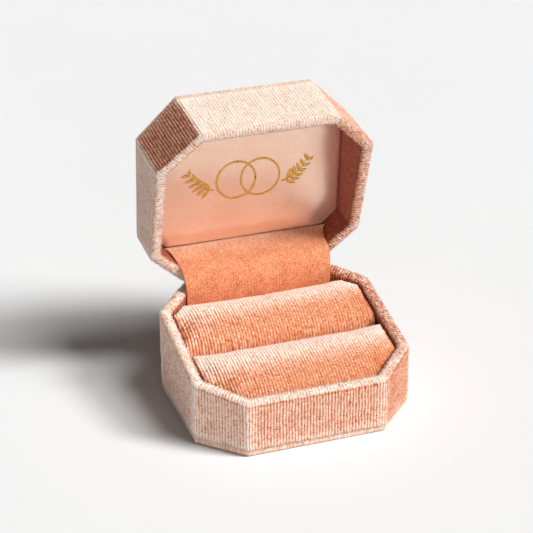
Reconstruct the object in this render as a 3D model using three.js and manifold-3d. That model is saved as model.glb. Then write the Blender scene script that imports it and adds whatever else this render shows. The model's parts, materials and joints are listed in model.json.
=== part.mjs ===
// Octagonal velvet ring box with a snap-hinged lid, standing open.
// Millimetres, +Z up, +X to the right, front towards -Y. The origin is the centre of the underside.
// The lid is drawn shut, then turned open about the hinge pin by its own group.

import * as THREE from "three";
import { mergeVertices } from "three/addons/utils/BufferGeometryUtils.js";
import Module from "manifold-3d";

const wasm = await Module();
wasm.setup();

// ---- Overall sizes ---------------------------------------------------------------------------
const boxWidth = 65; // across, over the pile
const boxDepth = 56; // front to back, over the pile
const closedHeight = 42.5; // table to lid top, lid shut
const cornerCut = 12; // leg of each cut corner, in plan
const lidBackHeight = 13.4; // lid top down to the parting plane at the back face
const partingRise = THREE.MathUtils.degToRad(12.3); // climb of the parting plane towards the back
const openAngle = THREE.MathUtils.degToRad(84.5); // shut to fully open

// ---- Layers, from the outside in -------------------------------------------------------------
const pile = 0.8; // velvet and its backing, on the outside and over the rims
const glueLine = 0.1; // between any two glued layers
const shellWall = 1.2; // moulded shell
const lining = 0.7; // velvet turned inside
const rimGap = 0.3; // between the two rims, lid shut

// ---- Plates under the base and on the lid ----------------------------------------------------
const plateSetIn = 0.5; // plate edge inside the walls, all round
const plateBoard = 1.2; // card
const platePile = 0.7; // velvet round the card

// ---- Ring pads -------------------------------------------------------------------------------
const padCard = 1; // card under the pads
const padSideGap = 0.4; // pads to lining
const padDrop = 0.4; // pad crests below the parting plane
const padRound = 4; // rounding of the pads' upper edges
const slotCentre = -0.6; // ring slot along Y
const slotWidth = 1; // pads' facing sides, unladen

// ---- Lid liner -------------------------------------------------------------------------------
const linerSideGap = 0.8; // panel to lining
const linerCard = 0.9; // card
const wadding = 1; // thin padding
const satin = 0.4; // satin with its paper backing

// ---- Hinge -----------------------------------------------------------------------------------
const hingeWidth = 26; // along the pin
const leafSheet = 0.5; // sheet steel
const leafReach = 6.6; // pin axis to the leaf's far edge
const barrelRadius = 1.2; // outside of the curled knuckles
const pinClearance = 0.05; // radial, pin in knuckle
const hingeRoom = 0.3; // round the barrel and beside the leaves
const knuckles = 5; // turn about, the first on the lower leaf
const knuckleGap = 0.25; // along the pin
const rivetRadius = 0.6; // shank
const rivetHead = 1.3; // head radius
const rivetHeadHeight = 0.5;
const rivetFlatShare = 0.6; // flat part of the head, share of its radius
const rivetEdgeShare = 0.8; // where the flat part ends, share of the head's height
const rivetSetOut = 8.6; // rivets off the centre line
const rivetDrop = 4.3; // rivets off the pin axis
const springStrip = 0.3; // spring steel
const springWidth = 7;
const springRadius = 3.3; // bow round the pin axis
const springFoot = 5.8; // pin axis to the far end of each foot
const springBow = [200, 160, 120, 80]; // degrees round the pin, from +Y, that the bow passes

// ---- Hinge flap ------------------------------------------------------------------------------
const flapSheet = 0.7; // velvet on cloth backing
const flapRadius = 5.1; // pin axis to the middle of the flap
const flapBow = [75, 105, 135, 165]; // degrees round the pin, from +Y, that the flap passes
const flapOverlap = 5; // flap edge over the liner, from the panel's back edge
const flapSideGap = 0.2; // flap to the lining of the cut corners

// ---- Sizes that follow -----------------------------------------------------------------------
const shellFace = pile + glueLine; // inset of the shell's outer face
const shellInside = shellFace + shellWall;
const liningFace = shellInside + glueLine; // inset of the lining's hidden face
const wall = liningFace + lining; // pile face to lining face
const plateHeight = platePile + glueLine + plateBoard;
const shellEnd = plateHeight + glueLine; // plate face to shell
const shellFloor = shellEnd + shellWall; // plate face to the inside of the shell
const backY = boxDepth / 2;
const leafBack = backY - shellInside - glueLine;
const leafFront = leafBack - leafSheet;
const pinY = leafFront + barrelRadius;
const pinZ = partingAt(pinY);
const pinHole = barrelRadius - leafSheet;
const linerInset = wall + linerSideGap;
const linerHeight = satin + glueLine + wadding + glueLine + linerCard;
const satinFace = closedHeight - shellFloor - glueLine - linerHeight;
const padFloor = shellFloor + glueLine + padCard + glueLine;
const flapY = pinY - flapRadius; // flap where it goes down behind the rear pad
const rearPadBack = flapY - flapSheet / 2 - padSideGap;
const frontPadFront = -backY + wall + padSideGap;
const reach = boxWidth + boxDepth; // longer than any cut
const stripSteps = 24; // along a bent strip
const curveSteps = 6; // along a rounded corner
const rivetSteps = 12; // round a rivet or its hole
const pinSteps = 16; // round the pin

// Each half is drawn from its plate face towards the rim.
const base = { end: 0, inward: 1 };
const lid = { end: closedHeight, inward: -1 };

// ---- Geometry helpers ------------------------------------------------------------------------

// Height of the parting plane at y.
function partingAt(y) {
  return closedHeight - lidBackHeight - (boxDepth / 2 - y) * Math.tan(partingRise);
}

// A level plane at a depth inside a half, and its rim plane set back by a distance.
const level = (half, depth) => () => half.end + half.inward * depth;
const rim = (half, setBack) => (y) => partingAt(y) - half.inward * setBack;

// The plan of the box, inset all round.
function octagon(inset) {
  const x = boxWidth / 2 - inset;
  const y = boxDepth / 2 - inset;
  const cut = cornerCut - inset * (2 - Math.SQRT2);
  return new THREE.Shape([
    new THREE.Vector2(x, cut - y),
    new THREE.Vector2(x, y - cut),
    new THREE.Vector2(x - cut, y),
    new THREE.Vector2(cut - x, y),
    new THREE.Vector2(-x, y - cut),
    new THREE.Vector2(-x, cut - y),
    new THREE.Vector2(cut - x, -y),
    new THREE.Vector2(x - cut, -y),
  ]);
}

// A prism over a plan outline, between two surfaces given as heights over y.
function slab(shape, from, to) {
  const [low, high] = from(0) < to(0) ? [from, to] : [to, from];
  const geometry = new THREE.ExtrudeGeometry(shape, { depth: 1, bevelEnabled: false });
  const points = geometry.getAttribute("position");
  for (let i = 0; i < points.count; i++) {
    const y = points.getY(i);
    points.setZ(i, points.getZ(i) > 0.5 ? high(y) : low(y));
  }
  return solid(geometry);
}

// A side view in (y, z) carried along X, centred on x.
function alongX(shape, width, x = 0) {
  const settings = { depth: width, bevelEnabled: false, curveSegments: curveSteps };
  const geometry = new THREE.ExtrudeGeometry(shape, settings);
  const across = new THREE.Matrix4().makeBasis(
    new THREE.Vector3(0, 1, 0),
    new THREE.Vector3(0, 0, 1),
    new THREE.Vector3(1, 0, 0),
  );
  geometry.applyMatrix4(across);
  geometry.translate(x - width / 2, 0, 0);
  return solid(geometry);
}

// A front view in (x, z) carried along Y, centred on the origin.
function alongY(shape, depth) {
  const settings = { depth, bevelEnabled: false, curveSegments: curveSteps };
  const geometry = new THREE.ExtrudeGeometry(shape, settings);
  geometry.rotateX(Math.PI / 2);
  geometry.translate(0, depth / 2, 0);
  return solid(geometry);
}

// A block from its lowest to its highest corner.
function block(low, high) {
  const size = new THREE.Vector3().subVectors(high, low);
  const middle = new THREE.Vector3().addVectors(low, high).multiplyScalar(0.5);
  return solid(new THREE.BoxGeometry(size.x, size.y, size.z).translate(middle.x, middle.y, middle.z));
}

// A three.js geometry as a solid that can be joined and cut.
function solid(geometry) {
  const bare = new THREE.BufferGeometry();
  const triangles = geometry.index ? geometry.toNonIndexed() : geometry;
  bare.setAttribute("position", triangles.getAttribute("position"));
  const merged = mergeVertices(bare, 1e-4);
  return new wasm.Manifold(
    new wasm.Mesh({
      numProp: 3,
      vertProperties: merged.getAttribute("position").array,
      triVerts: new Uint32Array(merged.index.array),
    }),
  );
}

// A solid as a three.js geometry.
function geometryOf(body) {
  const mesh = body.getMesh();
  const geometry = new THREE.BufferGeometry();
  geometry.setAttribute("position", new THREE.BufferAttribute(mesh.vertProperties, 3));
  geometry.setIndex(new THREE.BufferAttribute(mesh.triVerts, 1));
  const faceted = geometry.toNonIndexed();
  faceted.computeVertexNormals();
  return faceted;
}

// A point about the pin axis, as an angle from +Y and a distance, in the (y, z) view.
function aboutPin(angle, distance) {
  return new THREE.Vector2(pinY + distance * Math.cos(angle), pinZ + distance * Math.sin(angle));
}

// Where a point of the shut lid stands once the lid is open.
function onOpenLid(y, z) {
  return new THREE.Vector2(y, z).rotateAround(new THREE.Vector2(pinY, pinZ), -openAngle);
}

// A strip of even thickness along a smooth line through (y, z) points, carried along X.
function strip(points, thickness, width) {
  const line = new THREE.SplineCurve(points);
  const left = [];
  const right = [];
  for (let i = 0; i <= stripSteps; i++) {
    const middle = line.getPointAt(i / stripSteps);
    const along = line.getTangentAt(i / stripSteps);
    const aside = new THREE.Vector2(-along.y, along.x).multiplyScalar(thickness / 2);
    left.push(middle.clone().add(aside));
    right.unshift(middle.clone().sub(aside));
  }
  const outline = new THREE.Shape([...left, ...right]);
  return alongX(outline, width);
}

// ---- Cuts for the hinge ----------------------------------------------------------------------

// Behind the pin both rims are bevelled by half the opening each. Shut, they leave a V; fully
// open, they meet and stop the lid.
function bevel(half, setBack) {
  const slope = partingRise - (half.inward * openAngle) / 2;
  const along = new THREE.Vector2(Math.cos(slope), Math.sin(slope)).multiplyScalar(reach);
  const away = new THREE.Vector2(-along.y, along.x).multiplyScalar(half.inward);
  const start = new THREE.Vector2(pinY, pinZ).addScaledVector(away, -setBack / reach);
  const corners = [
    start.clone().sub(along),
    start.clone().add(along),
    start.clone().add(along).add(away),
    start.clone().sub(along).add(away),
  ];
  return alongX(new THREE.Shape(half.inward > 0 ? corners : corners.reverse()), 2 * reach);
}

// The part of a back wall that makes room for the barrel or, deeper, for a leaf.
function hingeCut(half, depth, front, back) {
  const x = hingeWidth / 2 + hingeRoom;
  const far = pinZ - half.inward * (depth + hingeRoom);
  const near = pinZ + half.inward * reach;
  return block(
    new THREE.Vector3(-x, front, Math.min(far, near)),
    new THREE.Vector3(x, back, Math.max(far, near)),
  );
}

// Places of the two rivets of a half, in the (x, z) view.
function rivetPlaces(half) {
  return [-rivetSetOut, rivetSetOut].map((x) => new THREE.Vector2(x, pinZ - half.inward * rivetDrop));
}

// Rivet holes through a leaf and its wall.
function rivetHoles(half, body) {
  return rivetPlaces(half).reduce((left, place) => {
    const radius = rivetRadius + glueLine;
    const hole = new THREE.CylinderGeometry(radius, radius, reach, rivetSteps);
    return left.subtract(solid(hole.translate(place.x, 0, place.y)));
  }, body);
}

// ---- Shells and their velvet -----------------------------------------------------------------

// A moulded tray: the base's stands on its plate, the lid's is the same upside down.
function shell(half) {
  const outside = slab(octagon(shellFace), level(half, shellEnd), rim(half, rimGap / 2 + shellFace));
  const inside = slab(octagon(shellInside), level(half, shellFloor), rim(half, -reach));
  const tray = outside
    .subtract(inside)
    .subtract(bevel(half, rimGap / 2 + shellFace))
    .subtract(hingeCut(half, barrelRadius, 0, reach));
  return geometryOf(backRivetHoles(half, tray));
}

// The holes only go through the back wall.
function backRivetHoles(half, tray) {
  const front = block(new THREE.Vector3(-reach, -reach, -reach), new THREE.Vector3(reach, 0, reach));
  const back = rivetHoles(half, tray.subtract(front));
  return back.add(tray.intersect(front));
}

// One piece of velvet: up the outside, over the rim and down the inside.
function velvetWrap(half) {
  const outside = slab(octagon(0), level(half, shellEnd), rim(half, rimGap / 2));
  const inside = slab(octagon(wall), level(half, -reach), rim(half, -reach));
  const shellRoom = slab(octagon(pile), level(half, -reach), rim(half, rimGap / 2 + pile))
    .subtract(slab(octagon(liningFace), level(half, -reach), rim(half, -reach)))
    .subtract(bevel(half, rimGap / 2 + pile));
  const floorRoom = slab(octagon(pile), level(half, -reach), level(half, shellFloor + glueLine));
  const wrap = outside
    .subtract(inside)
    .subtract(shellRoom)
    .subtract(floorRoom)
    .subtract(bevel(half, rimGap / 2))
    .subtract(hingeCut(half, barrelRadius, 0, reach))
    .subtract(hingeCut(half, leafReach, 0, leafBack + glueLine / 2));
  return geometryOf(wrap);
}

// Card of a plate.
function plateCard(half) {
  const outline = octagon(plateSetIn + platePile + glueLine);
  return geometryOf(slab(outline, level(half, platePile + glueLine), level(half, plateHeight)));
}

// Velvet round the face and edges of a plate's card.
function plateVelvet(half) {
  const outside = slab(octagon(plateSetIn), level(half, 0), level(half, plateHeight));
  const room = slab(octagon(plateSetIn + platePile), level(half, platePile), level(half, reach));
  return geometryOf(outside.subtract(room));
}

// ---- Ring pads -------------------------------------------------------------------------------

// A block's outline with its two upper corners rounded, from its left to its right side.
function roundedTop(left, right) {
  const shape = new THREE.Shape();
  shape.moveTo(left, -reach);
  shape.lineTo(right, -reach);
  shape.lineTo(right, -padRound);
  shape.quadraticCurveTo(right, 0, right - padRound, 0);
  shape.lineTo(left + padRound, 0);
  shape.quadraticCurveTo(left, 0, left, -padRound);
  return shape;
}

// A pad between two sides along Y. Its top is rounded each way and parallel to the parting
// plane, and it stands on the pads' card.
function padBody(front, back, inset) {
  const sideInset = wall + padSideGap + inset;
  const side = boxWidth / 2 - sideInset;
  const lengthwise = alongX(roundedTop(front + inset, back - inset), boxWidth);
  const crosswise = alongY(roundedTop(-side, side), boxDepth);
  const plan = slab(octagon(sideInset), () => -reach, () => 0);
  const upright = geometryOf(lengthwise.intersect(crosswise).intersect(plan));
  const shear = new THREE.Matrix4().set(1, 0, 0, 0, 0, 1, 0, 0, 0, Math.tan(partingRise), 1, 0, 0, 0, 0, 1);
  upright.applyMatrix4(shear);
  upright.translate(0, 0, partingAt(0) - padDrop - inset);
  return solid(upright).subtract(slab(octagon(-1), () => -2 * reach, () => padFloor));
}

function padFoam(front, back) {
  return geometryOf(padBody(front, back, pile + glueLine));
}

function padVelvet(front, back) {
  return geometryOf(padBody(front, back, 0).subtract(padBody(front, back, pile)));
}

function padsCard() {
  const outline = octagon(wall + padSideGap);
  return geometryOf(slab(outline, level(base, shellFloor + glueLine), level(base, padFloor - glueLine)));
}

// ---- Lid liner -------------------------------------------------------------------------------

// A layer of the liner between two heights over the satin's face.
function linerLayer(inset, low, high) {
  return slab(octagon(inset), () => satinFace + low, () => satinFace + high);
}

// Satin drawn over the padded card and turned up round its edges.
function linerSatin() {
  const outside = linerLayer(linerInset, 0, linerHeight);
  return geometryOf(outside.subtract(linerLayer(linerInset + satin, satin, reach)));
}

function linerWadding() {
  const low = satin + glueLine;
  return geometryOf(linerLayer(linerInset + satin + glueLine, low, low + wadding));
}

function linerBoard() {
  return geometryOf(linerLayer(linerInset + satin + glueLine, linerHeight - linerCard, linerHeight));
}

// ---- Hinge -----------------------------------------------------------------------------------

// A leaf: a flat plate riveted inside the back wall, with its own share of the knuckles.
function hingeLeaf(half, first) {
  const x = hingeWidth / 2;
  const plateNear = pinZ - half.inward * (barrelRadius + hingeRoom);
  const plateFar = pinZ - half.inward * leafReach;
  const plate = block(
    new THREE.Vector3(-x, leafFront, Math.min(plateNear, plateFar)),
    new THREE.Vector3(x, leafBack, Math.max(plateNear, plateFar)),
  );
  const pitch = hingeWidth / knuckles;
  let leaf = plate;
  for (let i = first; i < knuckles; i += 2) {
    leaf = leaf.add(knuckle(half, -x + (i + 0.5) * pitch, pitch - knuckleGap));
  }
  return geometryOf(rivetHoles(half, leaf));
}

// A curled knuckle and the tongue that joins it to its plate.
function knuckle(half, x, width) {
  const curl = new THREE.Shape().absarc(pinY, pinZ, barrelRadius, 0, 2 * Math.PI);
  const bore = new THREE.Path().absarc(pinY, pinZ, pinHole, 0, 2 * Math.PI);
  const tongueEnd = pinZ - half.inward * (barrelRadius + 2 * hingeRoom);
  const tongue = block(
    new THREE.Vector3(x - width / 2, leafFront, Math.min(pinZ, tongueEnd)),
    new THREE.Vector3(x + width / 2, leafBack, Math.max(pinZ, tongueEnd)),
  );
  curl.holes.push(bore);
  return alongX(curl, width, x).add(tongue);
}

function hingePin() {
  const radius = pinHole - pinClearance;
  return new THREE.CylinderGeometry(radius, radius, hingeWidth, pinSteps).rotateZ(Math.PI / 2);
}

// A rivet along +Y: a low domed head in front of the leaf, and a shank through leaf and wall.
function rivet() {
  const shank = leafSheet + glueLine + shellWall;
  return new THREE.LatheGeometry(
    [
      new THREE.Vector2(0, -rivetHeadHeight),
      new THREE.Vector2(rivetHead * rivetFlatShare, -rivetHeadHeight * rivetEdgeShare),
      new THREE.Vector2(rivetHead, -glueLine / 2),
      new THREE.Vector2(rivetRadius, -glueLine / 2),
      new THREE.Vector2(rivetRadius, shank),
      new THREE.Vector2(0, shank),
    ],
    rivetSteps,
  );
}

// Points round the pin at angles in degrees.
function bowPoints(angles, distance) {
  return angles.map((degrees) => aboutPin(THREE.MathUtils.degToRad(degrees), distance));
}

// The bow spring between the leaves that makes the lid snap.
function snapSpring() {
  const footY = leafFront - glueLine - springStrip / 2;
  const bow = bowPoints(springBow, springRadius);
  const lower = new THREE.Vector2(footY, pinZ - springFoot);
  const upper = onOpenLid(footY, pinZ + springFoot);
  return geometryOf(strip([lower, ...bow, upper], springStrip, springWidth));
}

// The flap that hides the hinge: from over the liner, round the hinge and down behind the rear pad.
function hingeFlap() {
  const linerEdge = backY - linerInset;
  const onLiner = satinFace - glueLine - flapSheet / 2;
  const bow = bowPoints(flapBow, flapRadius);
  const start = onOpenLid(linerEdge - flapOverlap, onLiner);
  const tail = [
    new THREE.Vector2(flapY, pinZ - flapRadius),
    new THREE.Vector2(flapY, padFloor),
  ];
  return geometryOf(strip([start, ...bow, ...tail], flapSheet, flapWidth()));
}

// The flap fills the space between the linings of the rear cut corners.
function flapWidth() {
  const plan = boxWidth / 2 + boxDepth / 2 - cornerCut - wall * Math.SQRT2;
  return 2 * (plan - (flapY + flapSheet) - flapSideGap);
}

// ---- The object ------------------------------------------------------------------------------

const outerVelvet = { color: "#e9c3b4", roughness: 0.95, metalness: 0 };
const padPile = { color: "#f0ab86", roughness: 0.95, metalness: 0 };
const satinFinish = { color: "#e8bba8", roughness: 0.35, metalness: 0 };
const plastic = { color: "#2b2726", roughness: 0.5, metalness: 0 };
const card = { color: "#b8a58c", roughness: 0.9, metalness: 0 };
const foam = { color: "#f3ead9", roughness: 1, metalness: 0 };
const steel = { color: "#b9bcc0", roughness: 0.3, metalness: 1 };

// One named mesh in its own material.
function piece(name, geometry, finish) {
  const mesh = new THREE.Mesh(geometry, new THREE.MeshStandardMaterial(finish));
  mesh.name = name;
  return mesh;
}

// The two rivets of a half.
function rivets(half, name) {
  return rivetPlaces(half).map((place, i) => {
    const mesh = piece(`${name}_rivet_${i === 0 ? "left" : "right"}`, rivet(), steel);
    mesh.position.set(place.x, leafFront, place.y);
    return mesh;
  });
}

function baseGroup() {
  const pin = piece("hinge_pin", hingePin(), steel);
  pin.position.set(0, pinY, pinZ);
  const group = new THREE.Group();
  group.add(
    piece("foot_velvet", plateVelvet(base), outerVelvet),
    piece("foot_board", plateCard(base), card),
    piece("base_shell", shell(base), plastic),
    piece("base_velvet", velvetWrap(base), outerVelvet),
    piece("pad_card", padsCard(), card),
    piece("front_pad_foam", padFoam(frontPadFront, slotCentre - slotWidth / 2), foam),
    piece("front_pad_velvet", padVelvet(frontPadFront, slotCentre - slotWidth / 2), padPile),
    piece("rear_pad_foam", padFoam(slotCentre + slotWidth / 2, rearPadBack), foam),
    piece("rear_pad_velvet", padVelvet(slotCentre + slotWidth / 2, rearPadBack), padPile),
    piece("hinge_lower_leaf", hingeLeaf(base, 0), steel),
    pin,
    ...rivets(base, "lower"),
    piece("snap_spring", snapSpring(), steel),
    piece("hinge_flap", hingeFlap(), padPile),
  );
  return group;
}

// The lid, drawn shut inside a group that turns about the pin.
function lidGroup() {
  const shut = new THREE.Group();
  shut.position.set(0, -pinY, -pinZ);
  shut.add(
    piece("lid_top_velvet", plateVelvet(lid), outerVelvet),
    piece("lid_top_board", plateCard(lid), card),
    piece("lid_shell", shell(lid), plastic),
    piece("lid_velvet", velvetWrap(lid), outerVelvet),
    piece("liner_board", linerBoard(), card),
    piece("liner_wadding", linerWadding(), foam),
    piece("liner_satin", linerSatin(), satinFinish),
    piece("hinge_upper_leaf", hingeLeaf(lid, 1), steel),
    ...rivets(lid, "upper"),
  );
  const turned = new THREE.Group();
  turned.position.set(0, pinY, pinZ);
  turned.rotation.x = -openAngle;
  turned.add(shut);
  return turned;
}

const ringBox = new THREE.Group();
ringBox.add(baseGroup(), lidGroup());

export default ringBox;
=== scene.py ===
"""Octagonal velvet ring box with a snap-hinged lid: its visible cloth, satin, foil and steel.

Metres, +Z up, front towards -Y, as in the frame. Pieces of the lid are made with the lid shut and
then turned open about the hinge pin, which is how the frame stores it.
"""

import json
import logging
import math
from dataclasses import dataclass
from enum import Enum
from functools import cache
from typing import Optional, Sequence

import bmesh
import bpy
import numpy as np
from mathutils import Matrix, Vector
from mathutils.bvhtree import BVHTree


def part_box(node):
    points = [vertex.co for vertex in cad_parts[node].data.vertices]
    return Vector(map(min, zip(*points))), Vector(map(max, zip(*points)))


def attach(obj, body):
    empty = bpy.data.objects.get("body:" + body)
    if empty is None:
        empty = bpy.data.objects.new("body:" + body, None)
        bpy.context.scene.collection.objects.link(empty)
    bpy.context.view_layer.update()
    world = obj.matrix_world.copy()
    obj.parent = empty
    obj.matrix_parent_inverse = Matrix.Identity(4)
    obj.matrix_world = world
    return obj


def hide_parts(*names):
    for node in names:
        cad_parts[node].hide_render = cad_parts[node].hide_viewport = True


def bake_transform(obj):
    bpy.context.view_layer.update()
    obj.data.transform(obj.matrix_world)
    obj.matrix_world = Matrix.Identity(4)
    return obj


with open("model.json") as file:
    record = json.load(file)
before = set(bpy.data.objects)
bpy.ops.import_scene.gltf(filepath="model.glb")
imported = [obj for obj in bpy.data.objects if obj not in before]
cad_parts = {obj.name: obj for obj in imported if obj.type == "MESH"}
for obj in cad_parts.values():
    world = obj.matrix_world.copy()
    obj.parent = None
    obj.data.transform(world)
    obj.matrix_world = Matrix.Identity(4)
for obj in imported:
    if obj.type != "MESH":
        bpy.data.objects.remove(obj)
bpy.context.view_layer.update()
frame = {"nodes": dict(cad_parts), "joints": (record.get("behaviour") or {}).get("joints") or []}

MM = 0.001
log = logging.getLogger("ring_box")

RIM_GAP = 0.3 * MM  # between the two rims, lid shut
WALL = 2.9 * MM  # pile to lining, through the shell
SHELL_FLOOR = 1.3 * MM  # plate to the inside of a shell's floor
RIB = 0.9 * MM  # pitch of the velvet's ribs
STEPS_PER_RIB = 5


# ---- Colour and node helpers -----------------------------------------------------------------


def linear(hex_colour: str) -> tuple[float, float, float, float]:
    """Turns an sRGB hex colour to linear light.

    Args:
        hex_colour: Six hex digits after a hash sign.

    Returns:
        Red, green, blue and alpha, as a shader socket takes them.
    """
    parts = [int(hex_colour[i : i + 2], 16) / 255 for i in (1, 3, 5)]
    red, green, blue = [c / 12.92 if c <= 0.04045 else ((c + 0.055) / 1.055) ** 2.4 for c in parts]
    return (red, green, blue, 1.0)


def add_node(
    tree: bpy.types.NodeTree, kind: str, inputs: Optional[dict] = None, **settings: object
) -> bpy.types.Node:
    """Adds a node with its settings, its fixed inputs and its links.

    Args:
        tree: The node tree it goes in.
        kind: Blender's name of the node type.
        inputs: By socket name or number, a value or the output socket that feeds it.
        settings: The node's own properties.

    Returns:
        The new node.
    """
    node = tree.nodes.new(kind)
    for name, value in settings.items():
        setattr(node, name, value)
    for socket, value in (inputs or {}).items():
        if isinstance(value, bpy.types.NodeSocket):
            tree.links.new(value, node.inputs[socket])
        else:
            node.inputs[socket].default_value = value
    return node


def set_stops(ramp: bpy.types.ColorRamp, stops: Sequence[tuple[float, str]]) -> None:
    """Gives a colour ramp its stops.

    Args:
        ramp: The ramp, new, with two stops.
        stops: Positions and hex colours, in order.
    """
    while len(ramp.elements) < len(stops):
        ramp.elements.new(0.5)
    for element, (place, colour) in zip(ramp.elements, stops):
        element.position = place
        element.color = linear(colour)


# ---- Finishes --------------------------------------------------------------------------------


@dataclass(frozen=True)
class Finish:
    """A real material. Each kind draws its own pattern; the rest is the same for all."""

    name: str

    def pattern(self, tree: bpy.types.NodeTree) -> dict:
        """Adds the nodes of the pattern.

        Args:
            tree: The material's node tree.

        Returns:
            Sockets that feed "Height" of the bump and inputs of the shader such as "Base Color".
        """
        raise NotImplementedError

    def bump(self) -> dict:
        """Strength and distance of the bump."""
        raise NotImplementedError

    def surface(self) -> dict:
        """Constant inputs of the shader."""
        raise NotImplementedError

    @cache
    def material(self) -> bpy.types.Material:
        """Builds the node material, once for each finish.

        Returns:
            The material.
        """
        material = bpy.data.materials.new(self.name)
        material.use_nodes = True
        tree = material.node_tree
        tree.nodes.clear()
        fed = self.pattern(tree)
        bump = add_node(tree, "ShaderNodeBump", {**self.bump(), "Height": fed.pop("Height")})
        inputs = {**self.surface(), **fed, "Normal": bump.outputs["Normal"]}
        shader = add_node(tree, "ShaderNodeBsdfPrincipled", inputs)
        add_node(tree, "ShaderNodeOutputMaterial", {"Surface": shader.outputs["BSDF"]})
        return material


@dataclass(frozen=True)
class NeedleVelvet(Finish):
    """Needle-ribbed polyester velvet: dense cut pile, woven in fine lengthwise ribs.

    Seen straight on the pile shows its deep ground colour; the tips along each rib catch the light
    and look pale, and the pile glows at a grazing angle. It reads the "rib", "bloom" and "pile"
    attributes of its mesh. The paleness in "rib" and "bloom" is painted light and shade: crests
    painted paler than grooves, and each face painted paler or darker by how it took the light.
    """

    deep: str  # darkest stop, where the painted shade is deepest, as on the lid's lining
    ground: str
    middle: str
    tip: str
    contrast: float = 0.7  # how far the ribs' crests are painted paler than their grooves: painted highlight and shade
    tufts: float = 1.0  # how far one tuft differs from the next
    tuft_length: float = 0.55 * MM  # along a rib
    locks: float = 0.95  # how far one lock of pile differs from the next
    lock_size: float = 0.2 * MM  # drawn coarser than a fibre so that it shows
    nap: float = 0.1  # how far the pile lies over in patches
    nap_size: float = 4.0 * MM
    sheen: str = "#FFE3D6"

    def pattern(self, tree: bpy.types.NodeTree) -> dict:
        """Adds up paleness from the painted light and shade in "bloom", the ribs, tufts, locks and
        nap.

        Args:
            tree: The material's node tree.

        Returns:
            Sockets for the height and the colour.
        """
        rib = add_node(tree, "ShaderNodeAttribute", attribute_name="rib").outputs["Fac"]
        shade = add_node(tree, "ShaderNodeAttribute", attribute_name="bloom").outputs["Fac"]
        cloth = add_node(tree, "ShaderNodeAttribute", attribute_name="pile").outputs["Vector"]
        place = add_node(tree, "ShaderNodeTexCoord").outputs["Object"]
        noises = []
        for vector, size, detail in (
            (cloth, self.tuft_length, 2.0),
            (place, self.lock_size, 2.0),
            (place, self.nap_size, 3.0),
        ):
            inputs = {"Vector": vector, "Scale": 1 / size, "Detail": detail, "Roughness": 0.55}
            noises.append(add_node(tree, "ShaderNodeTexNoise", inputs).outputs["Fac"])
        reaches = (self.contrast, self.tufts, self.locks, self.nap)
        for source, reach in zip([rib] + noises, reaches):
            inputs = {0: source, 1: reach, 2: shade}
            shade = add_node(tree, "ShaderNodeMath", inputs, operation="MULTIPLY_ADD").outputs[0]
        inputs = {0: shade, 1: sum(reaches) / 2}
        shade = add_node(tree, "ShaderNodeMath", inputs, operation="SUBTRACT").outputs[0]
        colour = add_node(tree, "ShaderNodeValToRGB", {"Fac": shade})
        stops = [(0.0, self.deep), (0.16, self.ground), (0.48, self.middle), (0.94, self.tip)]
        set_stops(colour.color_ramp, stops)
        return {"Height": noises[1], "Base Color": colour.outputs["Color"]}

    def bump(self) -> dict:
        """Locks of pile standing a tenth of a millimetre proud."""
        return {"Strength": 0.55, "Distance": 0.12 * MM}

    def surface(self) -> dict:
        """Matt fibres with a sheen where the pile is seen from the side.

        Returns:
            Inputs of the shader.
        """
        return {
            "Roughness": 0.9,
            "IOR": 1.45,
            "Specular IOR Level": 0.15,
            "Sheen Weight": 0.55,
            "Sheen Roughness": 0.42,
            "Sheen Tint": linear(self.sheen),
        }


@dataclass(frozen=True)
class DuchessSatin(Finish):
    """Polyester satin over thin wadding: long floats that give a soft, broad gloss."""

    colour: str
    shade: str
    thread: float = 0.32 * MM  # drawn coarser than the real 0.1 mm so that the weave shows
    float_ratio: float = 6.0  # length of a float over its width
    cloud: float = 11 * MM  # size of the drift in colour
    sheen: str = "#FFE9DF"

    def pattern(self, tree: bpy.types.NodeTree) -> dict:
        """Draws long floats along X over a slow drift.

        Args:
            tree: The material's node tree.

        Returns:
            Sockets for the height and the colour.
        """
        place = add_node(tree, "ShaderNodeTexCoord").outputs["Object"]
        inputs = {"Vector": place, "Scale": (1.0, self.float_ratio, 1.0)}
        floats = add_node(tree, "ShaderNodeMapping", inputs).outputs["Vector"]
        noises = []
        for vector, size, detail in (
            (floats, self.float_ratio * self.thread, 4.0),
            (place, self.cloud, 2.0),
        ):
            inputs = {"Vector": vector, "Scale": 1 / size, "Detail": detail}
            noises.append(add_node(tree, "ShaderNodeTexNoise", inputs).outputs["Fac"])
        both = add_node(tree, "ShaderNodeMath", {0: noises[0], 1: noises[1]}, operation="MULTIPLY")
        colour = add_node(tree, "ShaderNodeValToRGB", {"Fac": both.outputs["Value"]})
        set_stops(colour.color_ramp, [(0.05, self.shade), (0.45, self.colour)])
        return {"Height": noises[0], "Base Color": colour.outputs["Color"]}

    def bump(self) -> dict:
        """Threads barely proud of each other."""
        return {"Strength": 0.25, "Distance": 0.05 * MM}

    def surface(self) -> dict:
        """Bright, tinted gloss drawn out along the floats.

        Returns:
            Inputs of the shader.
        """
        return {
            "Metallic": 0.7,
            "Roughness": 0.26,
            "IOR": 1.5,
            "Specular IOR Level": 0.5,
            "Anisotropic": 0.4,
            "Sheen Weight": 0.2,
            "Sheen Roughness": 0.3,
            "Sheen Tint": linear(self.sheen),
        }


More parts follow.
